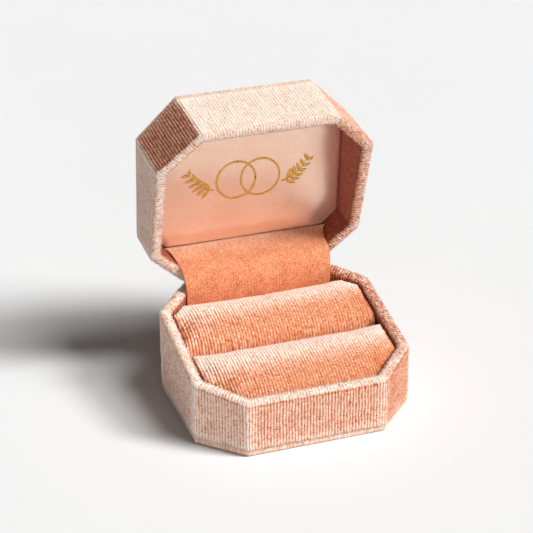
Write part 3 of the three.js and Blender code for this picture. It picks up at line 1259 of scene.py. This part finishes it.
@dataclass
class VelvetPlate:
    """The set-in plate under the base or on the lid: a card wrapped in velvet."""

    part: str  # how its names begin
    half: Half
    measures: BoxMeasures
    plan: OctagonPlan
    seed: int  # pattern of the ribs
    set_in: float = 0.3 * MM
    edge_radius: float = 0.7 * MM
    rib_depth: float = 0.22 * MM
    rib_level: float = 1.25  # height of a rib that reaches the card's own level
    pale_edge_reach: float = 1.5 * MM  # reach from the edge over which the ribs fade into paler pile
    turned_down: float = 2 * MM  # velvet round each edge

    def build(self) -> bpy.types.Object:
        """Makes the plate's velvet.

        Returns:
            The piece.
        """
        m, sign = self.measures, self.half.value
        half_width = m.width / 2 - self.set_in
        columns = spread(-half_width, half_width, RIB / 4, 0.9 * MM)
        reach = self.plan.half_depth(columns, self.set_in)
        skirt = np.linspace(0.2 * MM, m.plate - self.edge_radius - 0.1 * MM, 4)
        x, y, depth = CrownedSlab(columns, -reach, reach, spread(0, 1, 0.02, 0.02), skirt).grid()
        inside = self.plan.inside(x, y, self.set_in)
        height = rib_height(x, y, self.seed)
        lift = np.where(depth == 0, (height - self.rib_level) * self.rib_depth, 0)
        z = -round_edge(inside, self.edge_radius) - depth + np.minimum(lift, 0)
        edge = np.clip(1 - inside / self.pale_edge_reach, 0, 1)
        piece = mesh_object(
            f"{self.part}_velvet_plate",
            m.stored(self.half, np.stack([x, y, m.end(self.half) - sign * z], axis=-1)),
            grid_faces(*x.shape, False, False),
            rib=(np.clip(height, 0, 1) * (1 - edge) + 0.6 * edge).ravel(),
            bloom=(0.42 + 0.2 * edge).ravel(),
            pile=pile_place(x, y),
        )
        clean(piece, fill=True)
        finish_piece(piece, OUTER_VELVET, self.half, [f"{self.part}_velvet"])
        return piece


@dataclass
class RingPad:
    """A foam bar covered in velvet: a crowned roll, one side of the ring slot."""

    place: str  # front or rear
    measures: BoxMeasures
    plan: OctagonPlan
    seed: int  # pattern of the ribs
    long_round: float = 4.4 * MM  # rounding of the long edges
    end_round: float = 1.5 * MM
    corner_round: float = 1.3 * MM  # at the cut corners
    arch: float = 0.7 * MM
    sunk: float = 0.4 * MM  # crest below the parting plane
    tightness: float = 0.3 * MM  # how much smaller the pad is before the cloth swells
    swell: float = 0.95 * MM  # how far the cloth may move in the simulation
    scale: float = 10.0  # the solver suits cushions, so the cover is simulated this much larger
    pressure: float = 4.0
    frames: int = 20
    voxel: float = 1.5 * MM
    held_height: float = 6 * MM  # the foot of the cover, which doesn't move
    smoothing: int = 40  # passes over the simulated movement
    rib_depth: float = 0.28 * MM

    @property
    def name(self) -> str:
        """Name of the piece."""
        return f"{self.place}_ring_pad"

    def build(self) -> bpy.types.Object:
        """Makes the pad and stands it in the base.

        Returns:
            The pad.
        """
        points, depth = self._body(RIB / STEPS_PER_RIB, 0.02)
        points = self._swollen(self._body(2.0 * MM, 0.08)[0], points)
        return self._velvet(points, depth)

    def _body(self, step: float, share: float) -> tuple[np.ndarray, np.ndarray]:
        """The pad before its cloth swells.

        Args:
            step: Width of a column.
            share: Share of the pad's depth that a row takes.

        Returns:
            A grid of points, and how far down the side each lies.
        """
        low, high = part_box(f"{self.place}_pad_velvet")
        side = high.x - self.tightness
        inset = self.measures.width / 2 - side
        columns = spread(low.x + self.tightness, side, step, self.end_round)
        reach = self.plan.half_depth(columns, inset)
        front = np.maximum(low.y + self.tightness, -reach)
        back = np.minimum(high.y - self.tightness, reach)
        skirt = np.linspace(0.5, 20, 12) * MM
        x, y, depth = CrownedSlab(columns, front, back, spread(0, 1, share, 0.22), skirt).grid()
        edge = np.minimum(y - low.y, high.y - y) - self.tightness
        fall = np.maximum(
            soft_fall(edge, self.long_round), soft_fall(side - np.abs(x), self.end_round)
        )
        fall = np.maximum(fall, soft_fall(self.plan.inside(x, y, inset), self.corner_round))
        off_middle = (2 * y - low.y - high.y) / (high.y - low.y)
        face = self.measures.parting_at(y) - self.sunk - self.tightness - fall
        z = np.maximum(face - self.arch * off_middle**2 - depth, low.z + 0.1 * MM)
        return np.stack([x, y, z], axis=-1), depth

    def _swollen(self, coarse: np.ndarray, fine: np.ndarray) -> np.ndarray:
        """Fills the cover out with a cloth simulation and moves the fine grid with it.

        Args:
            coarse: The grid that is simulated.
            fine: The grid that follows it.

        Returns:
            The fine grid, moved.
        """
        faces = grid_faces(*coarse.shape[:2], False, False)
        cover = mesh_object("cover", coarse.reshape(-1, 3) * self.scale, faces)
        clean(cover, fill=True)
        remesh = cover.modifiers.new("remesh", "REMESH")
        remesh.mode = "VOXEL"
        remesh.voxel_size = self.voxel * self.scale
        slack = self._applied(cover)
        full = self._simulated(cover, slack)
        corners = [list(polygon.vertices) for polygon in cover.data.polygons]
        tree = BVHTree.FromPolygons(slack.tolist(), corners)
        moved = full - slack
        length = np.linalg.norm(moved, axis=1, keepdims=True)
        moved *= np.minimum(1.0, self.swell * self.scale / np.maximum(length, 1e-9))
        log.info("%s: cloth moved up to %.2f mm", self.name, float(length.max()) / self.scale / MM)
        shift = []
        for point in fine.reshape(-1, 3) * self.scale:
            place, _, face, _ = tree.find_nearest(Vector(point))
            gap = np.linalg.norm(slack[corners[face]] - np.array(place), axis=1)
            weight = 1 / (gap + 0.05 * MM * self.scale)
            pull = (moved[corners[face]] * weight[:, None]).sum(axis=0)
            shift.append(pull / weight.sum() / self.scale)
        bpy.data.objects.remove(cover)
        return fine + smoothed(np.array(shift).reshape(fine.shape), self.smoothing)

    def _simulated(self, cover: bpy.types.Object, slack: np.ndarray) -> np.ndarray:
        """Runs the cloth simulation.

        Args:
            cover: The slack cover.
            slack: Its points.

        Returns:
            Its points when the foam has filled it out.
        """
        held = cover.vertex_groups.new(name="held")
        low = slack[:, 2].min() + self.held_height * self.scale
        held.add(np.nonzero(slack[:, 2] < low)[0].tolist(), 1.0, "REPLACE")
        cloth = cover.modifiers.new("cloth", "CLOTH")
        cloth.settings.use_pressure = True
        cloth.settings.uniform_pressure_force = self.pressure
        cloth.settings.vertex_group_mass = "held"
        cloth.settings.effector_weights.gravity = 0.0
        for number in range(1, self.frames + 1):
            bpy.context.scene.frame_set(number)
        full = self._applied(cover)
        bpy.context.scene.frame_set(1)
        return full

    @staticmethod
    def _applied(piece: bpy.types.Object) -> np.ndarray:
        """Applies a piece's modifiers.

        Args:
            piece: The piece.

        Returns:
            Its points afterwards.
        """
        shown = piece.evaluated_get(bpy.context.evaluated_depsgraph_get())
        shape = bpy.data.meshes.new_from_object(shown)
        piece.modifiers.clear()
        piece.data = shape
        return np.array([v.co[:] for v in shape.vertices], float)

    def _velvet(self, points: np.ndarray, depth: np.ndarray) -> bpy.types.Object:
        """Raises the ribs and makes the mesh.

        Args:
            points: The smooth grid.
            depth: How far down the side each point lies.

        Returns:
            The pad.
        """
        x, y = points[..., 0], points[..., 1]
        along = y + depth * np.sign(y - y.mean())
        height = rib_height(x, along, self.seed)
        normals = grid_normals(points, False, False)
        lean = normals[..., 0]
        # painted sheen: each roll is painted paler towards its back, where it turns up to the light
        toward_back = np.clip(((y - y.min()) / np.ptp(y) - 0.22) / 0.7, 0, 1)
        from_left = (x - x.min()) / np.ptp(x)
        # ribs drawn crisper towards the back and at the left end, where the light crosses them:
        # painted highlight and shade
        crisp = 0.45 + 0.8 * toward_back + 0.7 * np.exp(-from_left / 0.18) - 0.25 * from_left
        crisp = np.clip(crisp, 0.35, 1)
        raised = points + normals * ((height - 1) * self.rib_depth * (0.4 + 0.6 * crisp))[..., None]
        # painted shade: the ends are painted darker where they face to the side, more at the right
        # end
        side_shade = 0.45 * np.maximum(lean, 0) + 0.3 * np.maximum(-lean, 0)
        piece = mesh_object(
            self.name,
            raised.reshape(-1, 3),
            grid_faces(*x.shape, False, False),
            rib=(0.55 + (np.clip(height, 0, 1) - 0.55) * crisp).ravel(),
            bloom=(0.3 + 0.6 * eased(toward_back) - side_shade).ravel(),
            pile=pile_place(x, along),
        )
        clean(piece, fill=True)
        nodes = [f"{self.place}_pad_velvet", f"{self.place}_pad_foam"]
        finish_piece(piece, PAD_VELVET, Half.BASE, nodes)
        return piece


def smoothed(field: np.ndarray, passes: int) -> np.ndarray:
    """Evens out a field over a grid.

    Args:
        field: Rows by columns by numbers.
        passes: How many times each point is averaged with its four neighbours.

    Returns:
        The smoother field.
    """
    for _ in range(passes):
        wide = np.pad(field, ((1, 1), (1, 1), (0, 0)), mode="edge")
        neighbours = wide[2:, 1:-1] + wide[:-2, 1:-1] + wide[1:-1, 2:] + wide[1:-1, :-2]
        field = 0.5 * field + 0.125 * neighbours
    return field


@dataclass
class SatinLiner:
    """The padded satin panel in the lid, with its foil stamp."""

    measures: BoxMeasures
    plan: OctagonPlan
    inset: float = 2.95 * MM
    face_depth: float = 5.9 * MM  # lid top to the satin, at the panel's edge
    edge_radius: float = 1.4 * MM
    crown: float = 0.45 * MM
    crown_reach: float = 4 * MM
    ripple: float = 0.07 * MM
    ripple_reach: float = 9 * MM
    ripple_seed: int = 51
    thickness: float = 2.4 * MM
    tuck: float = 0.75 * MM  # how far the satin is pressed in under the flap's edge
    tuck_half_width: float = 24.5 * MM
    tuck_line: float = 9.15 * MM  # from the back of the lid, just past the flap's edge
    turned_down: float = 2.5 * MM  # satin round each edge

    def height(self, x: np.ndarray, y: np.ndarray) -> np.ndarray:
        """Height of the satin's face, lid shut.

        Args:
            x: Places across the panel.
            y: Places from front to back.

        Returns:
            Heights.
        """
        inside = self.plan.inside(x, y, self.inset)
        pad = self.crown * (1 - np.exp(-inside / self.crown_reach))
        wave = value_noise(x / (5 * MM), y / (7 * MM), self.ripple_seed)
        wave *= self.ripple * np.exp(-inside / self.ripple_reach)
        past = (y - self.measures.depth / 2 + self.tuck_line) / (0.2 * MM)
        beside = (self.tuck_half_width - np.abs(x)) / (0.5 * MM)
        pressed = self.tuck / (1 + np.exp(-past)) / (1 + np.exp(-beside))
        face = pad + wave - pressed - round_edge(inside, self.edge_radius)
        return self.measures.shut_height - self.face_depth - face

    def build(self) -> bpy.types.Object:
        """Makes the panel.

        Returns:
            The satin.
        """
        m = self.measures
        half_width = m.width / 2 - self.inset
        columns = spread(-half_width, half_width, 0.6 * MM, 1.0 * MM)
        reach = self.plan.half_depth(columns, self.inset)
        skirt = np.linspace(0.2 * MM, self.thickness - self.edge_radius, 3)
        x, y, depth = CrownedSlab(columns, -reach, reach, spread(0, 1, 0.008, 0.03), skirt).grid()
        points = m.stored(Half.LID, np.stack([x, y, self.height(x, y) + depth], axis=-1))
        piece = mesh_object("satin_liner", points, grid_faces(*x.shape, False, False))
        clean(piece, fill=True)
        finish_piece(piece, LINER_SATIN, Half.LID, ["liner_satin"])
        FoilStamp(self).build()
        return piece


@dataclass
class FoilStamp:
    """Hot-stamped gold ornament on the satin: two linked rings between two leafy sprays."""

    liner: SatinLiner
    stroke: float = 0.62 * MM
    height: float = 0.07 * MM
    centre: tuple[float, float] = (0.2 * MM, -1.0 * MM)  # lid shut
    ring_radius: float = 6.0 * MM
    ring_offset: float = 0.62  # of a ring's radius, from the middle
    spray_gap: float = 0.7 * MM
    spray_length: float = 8.58 * MM
    spray_rise: float = 7.0 * MM
    spray_steps: int = 40
    leaves: int = 6  # pairs
    leaf_length: float = 3.4 * MM
    leaf_width: float = 1.05 * MM
    leaf_lean: float = math.radians(48)

    # Cross-section of a stroke, in shares of its width and its height; the last point is sunk
    # into the satin.
    PROFILE = np.array([(-0.5, 0), (-0.35, 0.8), (0, 1), (0.35, 0.8), (0.5, 0), (0, -1)])

    def strokes(self) -> list[tuple[np.ndarray, np.ndarray]]:
        """The ornament's lines.

        Returns:
            Points and widths of each line, round the ornament's centre with +Y upwards.
        """
        lines = []
        circle = self.ring_radius * unit_vectors(np.linspace(0, 2 * math.pi, 73))
        for side in (-1, 1):
            ring = circle + np.array([side * self.ring_offset * self.ring_radius, 0])
            lines.append((ring, np.full(len(ring), self.stroke)))
            lines.extend(self._spray(side))
        return lines

    def _spray(self, side: int) -> list[tuple[np.ndarray, np.ndarray]]:
        """A curved stem with leaves in pairs.

        Args:
            side: -1 on the left of the rings, 1 on the right.

        Returns:
            Points and widths of each line.
        """
        share = np.linspace(0, 1, self.spray_steps)
        start = (1 + self.ring_offset) * self.ring_radius + self.spray_gap
        x = side * (start + share * self.spray_length)
        stem = np.stack([x, (share**2 - 0.35) * self.spray_rise], axis=1)
        lines = [(stem, self.stroke * (0.75 - 0.45 * share))]
        for number in range(1, self.leaves + 1):
            at = number / (self.leaves + 0.6)
            root = np.array([np.interp(at, share, stem[:, k]) for k in range(2)])
            step = int(at * (self.spray_steps - 1))
            way = stem[step + 1] - stem[step]
            length = self.leaf_length * (1.1 - 0.5 * at)
            for lean in (-self.leaf_lean, self.leaf_lean):
                lines.append(self._leaf(root, math.atan2(way[1], way[0]) + lean, length))
        return lines

    def _leaf(
        self, root: np.ndarray, heading: float, length: float
    ) -> tuple[np.ndarray, np.ndarray]:
        """One leaf, a short stroke that swells and tapers.

        Args:
            root: Where it leaves the stem.
            heading: Its angle.
            length: From root to tip.

        Returns:
            Points and widths.
        """
        share = np.linspace(0, 1, 9)
        points = root + (share * length)[:, None] * unit_vectors(heading + 0.35 * (share - 0.5))
        swelling = np.sin(math.pi * np.clip(share, 0.03, 0.97)) ** 0.8
        return points, self.leaf_width * swelling

    def build(self) -> bpy.types.Object:
        """Makes the foil.

        Returns:
            The ornament.
        """
        points, faces, count = [], [], 0
        for line, width in self.strokes():
            way = np.gradient(line, axis=0)
            way /= np.linalg.norm(way, axis=1, keepdims=True)
            beside = np.stack([-way[:, 1], way[:, 0]], axis=1)[:, None, :]
            flat = line[:, None, :] + beside * (self.PROFILE[:, 0] * width[:, None])[..., None]
            x, y = self.centre[0] + flat[..., 0], self.centre[1] - flat[..., 1]
            z = self.liner.height(x, y) - self.PROFILE[:, 1] * self.height - 0.02 * MM
            points.append(np.stack([x, y, z], axis=-1).reshape(-1, 3))
            faces.append(grid_faces(*x.shape, False, True) + count)
            count += x.size
        stored = self.liner.measures.stored(Half.LID, np.vstack(points))
        piece = mesh_object("foil_stamp", stored, np.vstack(faces))
        clean(piece, fill=True)
        return finish_piece(piece, GOLD_FOIL, Half.LID)


# ---- Hinge flap and spring -------------------------------------------------------------------


def run_along(line: np.ndarray) -> np.ndarray:
    """Distance along a line at each of its points."""
    return np.concatenate([[0], np.cumsum(np.linalg.norm(np.diff(line, axis=0), axis=1))])


def smooth_line(knots: Sequence[Sequence[float]], steps: int) -> np.ndarray:
    """Even steps along a smooth line through knots.

    Args:
        knots: Rows of two numbers.
        steps: Number of steps.

    Returns:
        Rows of two numbers, evenly spaced.
    """
    knots = np.array(knots)
    ends = np.vstack([2 * knots[0] - knots[1], knots, 2 * knots[-1] - knots[-2]])
    t = np.linspace(0, 1, 40, endpoint=False)[:, None]
    dense = []
    for a, b, c, d in zip(ends, ends[1:], ends[2:], ends[3:]):
        square, cube = 2 * a - 5 * b + 4 * c - d, 3 * b - a - 3 * c + d
        dense.append(0.5 * (2 * b + (c - a) * t + square * t**2 + cube * t**3))
    line = np.vstack(dense + [knots[-1:]])
    along = run_along(line)
    even = np.linspace(0, along[-1], steps + 1)
    return np.stack([np.interp(even, along, line[:, k]) for k in range(2)], axis=1)


def ribbon(line: np.ndarray, x: np.ndarray) -> np.ndarray:
    """Carries a line in y and z across the box, as rows by columns by three."""
    return np.stack(np.broadcast_arrays(x, line[:, :1], line[:, 1:]), axis=-1)


def two_faced(front: np.ndarray, back: np.ndarray) -> np.ndarray:
    """Joins the rows of a front to those of a back, walked the other way."""
    return np.concatenate([front, back[:, ::-1]], axis=1)


@dataclass
class HingeFlap:
    """The velvet flap that hides the hinge, from over the liner to behind the rear pad."""

    measures: BoxMeasures
    half_width_lid: float = 23.8 * MM
    half_width_base: float = 22.4 * MM
    lid_edge: tuple[float, float] = (8.8 * MM, 5.95 * MM)  # from the lid's back and its top
    bow_radius: float = 5.1 * MM
    thickness: float = 0.7 * MM
    rib_depth: float = 0.12 * MM
    flare: float = 1.6 * MM  # how much wider the flap is where it goes under the satin
    flare_reach: float = 1.6 * MM
    pale_reach: float = 5 * MM  # paler pile near the liner
    steps: int = 72
    seed: int = 61  # pattern of the ribs

    def path(self) -> np.ndarray:
        """The flap's middle line, round the hinge and down behind the rear pad.

        Returns:
            Rows of y, z from the liner.
        """
        m = self.measures
        edge = (0, m.depth / 2 - self.lid_edge[0], m.shut_height - self.lid_edge[1])
        behind_pad = m.pin[0] - self.bow_radius
        knots = [
            m.stored(Half.LID, np.array(edge))[0, 1:],
            m.round_pin(78, 6.0 * MM),
            m.round_pin(112, 5.5 * MM),
            m.round_pin(145, self.bow_radius),
            m.round_pin(180, self.bow_radius - 0.1 * MM),
            (behind_pad, m.pin[1] - 5 * MM),
            (behind_pad, m.pin[1] - 12 * MM),
            (behind_pad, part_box("hinge_flap")[0].z + 0.3 * MM),
        ]
        return smooth_line(knots, self.steps)

    def build(self) -> bpy.types.Object:
        """Makes the flap.

        Returns:
            The flap.
        """
        line = self.path()
        along = run_along(line)[:, None]
        taper = np.minimum(along / along[-1] * 2.5, 1)
        half = self.half_width_lid + taper * (self.half_width_base - self.half_width_lid)
        half = half + self.flare * np.exp(-along / self.flare_reach)
        columns = round(2 * self.half_width_base / RIB) * STEPS_PER_RIB
        x = half * np.linspace(-1, 1, columns)
        along = along + np.zeros(columns)
        smooth = ribbon(line, x)
        normals = grid_normals(smooth, False, False)
        height = rib_height(x, along, self.seed)
        front = smooth + normals * (self.thickness / 2 + (height - 1) * self.rib_depth)[..., None]
        rib = np.clip(0.25 + 0.5 * height, 0, 1)
        bloom = 0.29 + 0.4 * np.exp(-along / self.pale_reach)
        piece = mesh_object(
            "hinge_flap_velvet",
            two_faced(front, smooth - normals * self.thickness / 2).reshape(-1, 3),
            grid_faces(len(line), 2 * columns, False, True),
            rib=two_faced(rib, rib).ravel(),
            bloom=two_faced(bloom, bloom).ravel(),
            pile=pile_place(two_faced(x, x), two_faced(along, along)),
        )
        clean(piece, fill=True)
        finish_piece(piece, RUBBED_VELVET, replaced=["hinge_flap"])
        self.measures.bend(piece, self.bow_radius, 6 * MM)
        return piece


@dataclass
class SnapHinge:
    """The steel hinge: the frame's leaves, pin and rivets, and the bowed spring."""

    measures: BoxMeasures
    width: float = 7 * MM
    thickness: float = 0.3 * MM
    bow_radius: float = 3.3 * MM
    foot_height: float = 5.8 * MM  # from the pin to each foot
    foot_gap: float = 0.25 * MM  # from the leaf to the spring's middle
    steps: int = 32
    columns: int = 9

    def build(self) -> bpy.types.Object:
        """Makes the spring and dresses the steel nodes.

        Returns:
            The spring.
        """
        for name in frame["nodes"]:
            if (name.startswith("hinge_") and name != "hinge_flap") or "_rivet_" in name:
                dress(name, NICKEL_STEEL)
        m = self.measures
        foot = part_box("hinge_lower_leaf")[0].y - self.foot_gap
        upper = m.stored(Half.LID, np.array([0, foot, m.pin[1] + self.foot_height]))[0, 1:]
        bow = [m.round_pin(degrees, self.bow_radius) for degrees in (200, 160, 120, 80)]
        line = smooth_line([(foot, m.pin[1] - self.foot_height), *bow, upper], self.steps)
        grid = ribbon(line, np.linspace(-self.width / 2, self.width / 2, self.columns))
        out = grid_normals(grid, False, False) * self.thickness / 2
        piece = mesh_object(
            "bow_spring",
            two_faced(grid + out, grid - out).reshape(-1, 3),
            grid_faces(len(line), 2 * self.columns, False, True),
        )
        clean(piece, fill=True)
        finish_piece(piece, NICKEL_STEEL, replaced=["snap_spring"])
        m.bend(piece, self.bow_radius, 4 * MM)
        return piece


def dress_hidden_layers() -> None:
    """Finishes of the shells, cards, foam and wadding inside."""
    layers = {
        MOULDED_STYRENE: ["base_shell", "lid_shell"],
        CHIPBOARD: ["foot_board", "lid_top_board", "pad_card", "liner_board"],
        FOAM: ["liner_wadding"],
    }
    for finish, nodes in layers.items():
        for node in nodes:
            dress(node, finish)


# ---- Studio ----------------------------------------------------------------------------------


@dataclass(frozen=True)
class SoftPanel:
    """Part of the tall softbox, as a distant lamp with a broad disc."""

    name: str
    azimuth: float  # degrees from +X towards +Y
    elevation: float  # degrees
    strength: float
    breadth: float  # degrees

    def build(self) -> None:
        """Makes the lamp."""
        lamp = bpy.data.lights.new(self.name, "SUN")
        lamp.energy = self.strength
        lamp.angle = math.radians(self.breadth)
        panel = bpy.data.objects.new(self.name, lamp)
        turn_x = math.radians(90 - self.elevation)
        panel.rotation_euler = (turn_x, 0.0, math.radians(self.azimuth + 90))
        bpy.context.scene.collection.objects.link(panel)


@dataclass(frozen=True)
class Studio:
    """Pale table, a tall softbox on the right, dim surroundings and the camera."""

    table_size: float = 6.0
    panels: tuple[SoftPanel, ...] = (
        SoftPanel("softbox_lower", -33, 40, 2.5, 16),
        SoftPanel("softbox_upper", -41, 58, 1.9, 24),
        SoftPanel("front_board", -105, 7, 0.8, 40),
        SoftPanel("left_board", 172, 8, 0.12, 50),
    )
    zenith: float = 0.02
    horizon: float = 0.12
    horizon_height: float = 0.26  # sine of the elevation where the bright walls end
    azimuth: float = math.radians(-19.28)
    elevation: float = math.radians(26.44)
    roll: float = math.radians(-0.31)
    distance: float = 0.512
    target: tuple[float, float, float] = (-0.0032, 0.005, 0.0412)
    lens: float = 121.65
    shift: tuple[float, float] = (-0.0011, -0.0029)

    def build(self) -> None:
        """Makes the table, the lights and the camera."""
        self._table()
        self._lights()
        self._camera()

    def _table(self) -> None:
        """A large sheet of pale paper."""
        half = self.table_size / 2
        corners = np.array([(-half, -half, 0), (half, -half, 0), (half, half, 0), (-half, half, 0)])
        table = mesh_object("table", corners, np.array([[0, 1, 2, 3]]))
        table.data.materials.append(TABLE_PAPER.material())

    def _lights(self) -> None:
        """The softbox, and a room whose pale walls are brighter than its ceiling."""
        for panel in self.panels:
            panel.build()
        world = bpy.data.worlds.new("room")
        world.use_nodes = True
        tree = world.node_tree
        direction = add_node(tree, "ShaderNodeTexCoord").outputs["Generated"]
        height = add_node(tree, "ShaderNodeSeparateXYZ", {"Vector": direction}).outputs["Z"]
        inputs = {
            "Value": height,
            "From Max": self.horizon_height,
            "To Min": self.horizon,
            "To Max": self.zenith,
        }
        glow = add_node(tree, "ShaderNodeMapRange", inputs, interpolation_type="SMOOTHSTEP")
        background = tree.nodes["Background"].inputs
        tree.links.new(glow.outputs["Result"], background["Strength"])
        background["Color"].default_value = (1.0, 1.0, 1.0, 1.0)
        bpy.context.scene.world = world
        bpy.context.scene.view_settings.view_transform = "Standard"

    def _camera(self) -> None:
        """A long lens from the front left, a little above."""
        data = bpy.data.cameras.new("camera")
        data.lens = self.lens
        data.shift_x, data.shift_y = self.shift
        camera = bpy.data.objects.new("camera", data)
        level = math.cos(self.elevation)
        x, y = math.sin(self.azimuth) * level, -math.cos(self.azimuth) * level
        back = Vector((x, y, math.sin(self.elevation)))
        aim = back.to_track_quat("Z", "Y").to_matrix().to_4x4()
        place = Matrix.Translation(Vector(self.target) + back * self.distance)
        camera.matrix_world = place @ aim @ Matrix.Rotation(self.roll, 4, "Z")
        bpy.context.scene.collection.objects.link(camera)
        bpy.context.scene.camera = camera


# ---- Making it all ---------------------------------------------------------------------------


def main() -> None:
    """Builds the studio and every visible piece."""
    logging.basicConfig(level=logging.INFO, format="%(name)s: %(message)s")
    Studio().build()
    measures = BoxMeasures.from_frame()
    log.info("%s", measures)
    plan = OctagonPlan(measures.width, measures.depth, measures.cut)
    VelvetWrap(
        Half.BASE,
        measures,
        plan,
        # painted light and shade by side: paler where the pile took the light, darker in shade
        side_painted_light=(0.26, 0.4, 0.45, 0.55, 0.56, 0.56, 0.38, 0.2),
        rim_painted_light=(0.36, 0.3, 0.46, 0.66, 0.76, 0.8, 0.82, 0.64),
        # the base's lining painted darker: painted shade
        inner_painted_shade=0.02,
        seed=11,
        lock_seed=5,
    ).build()
    VelvetWrap(
        Half.LID,
        measures,
        plan,
        # painted light and shade by side: the lid's front painted pale, its front-left cut corner
        # painted dark
        side_painted_light=(0.28, 0.4, 0.45, 0.48, 0.66, 0.14, 0.8, 0.36),
        rim_painted_light=(0.48, 0.46, 0.56, 0.68, 0.76, 0.76, 0.84, 0.45),
        # the lid's lining painted darkest: painted shade
        inner_painted_shade=-0.12,
        seed=23,
        lock_seed=6,
    ).build()
    VelvetPlate("foot", Half.BASE, measures, plan, seed=31).build()
    VelvetPlate("lid_top", Half.LID, measures, plan, seed=37).build()
    RingPad("front", measures, plan, seed=41).build()
    RingPad("rear", measures, plan, seed=47).build()
    SatinLiner(measures, plan).build()
    SnapHinge(measures).build()
    HingeFlap(measures).build()
    dress_hidden_layers()


if __name__ == "__main__":
    main()
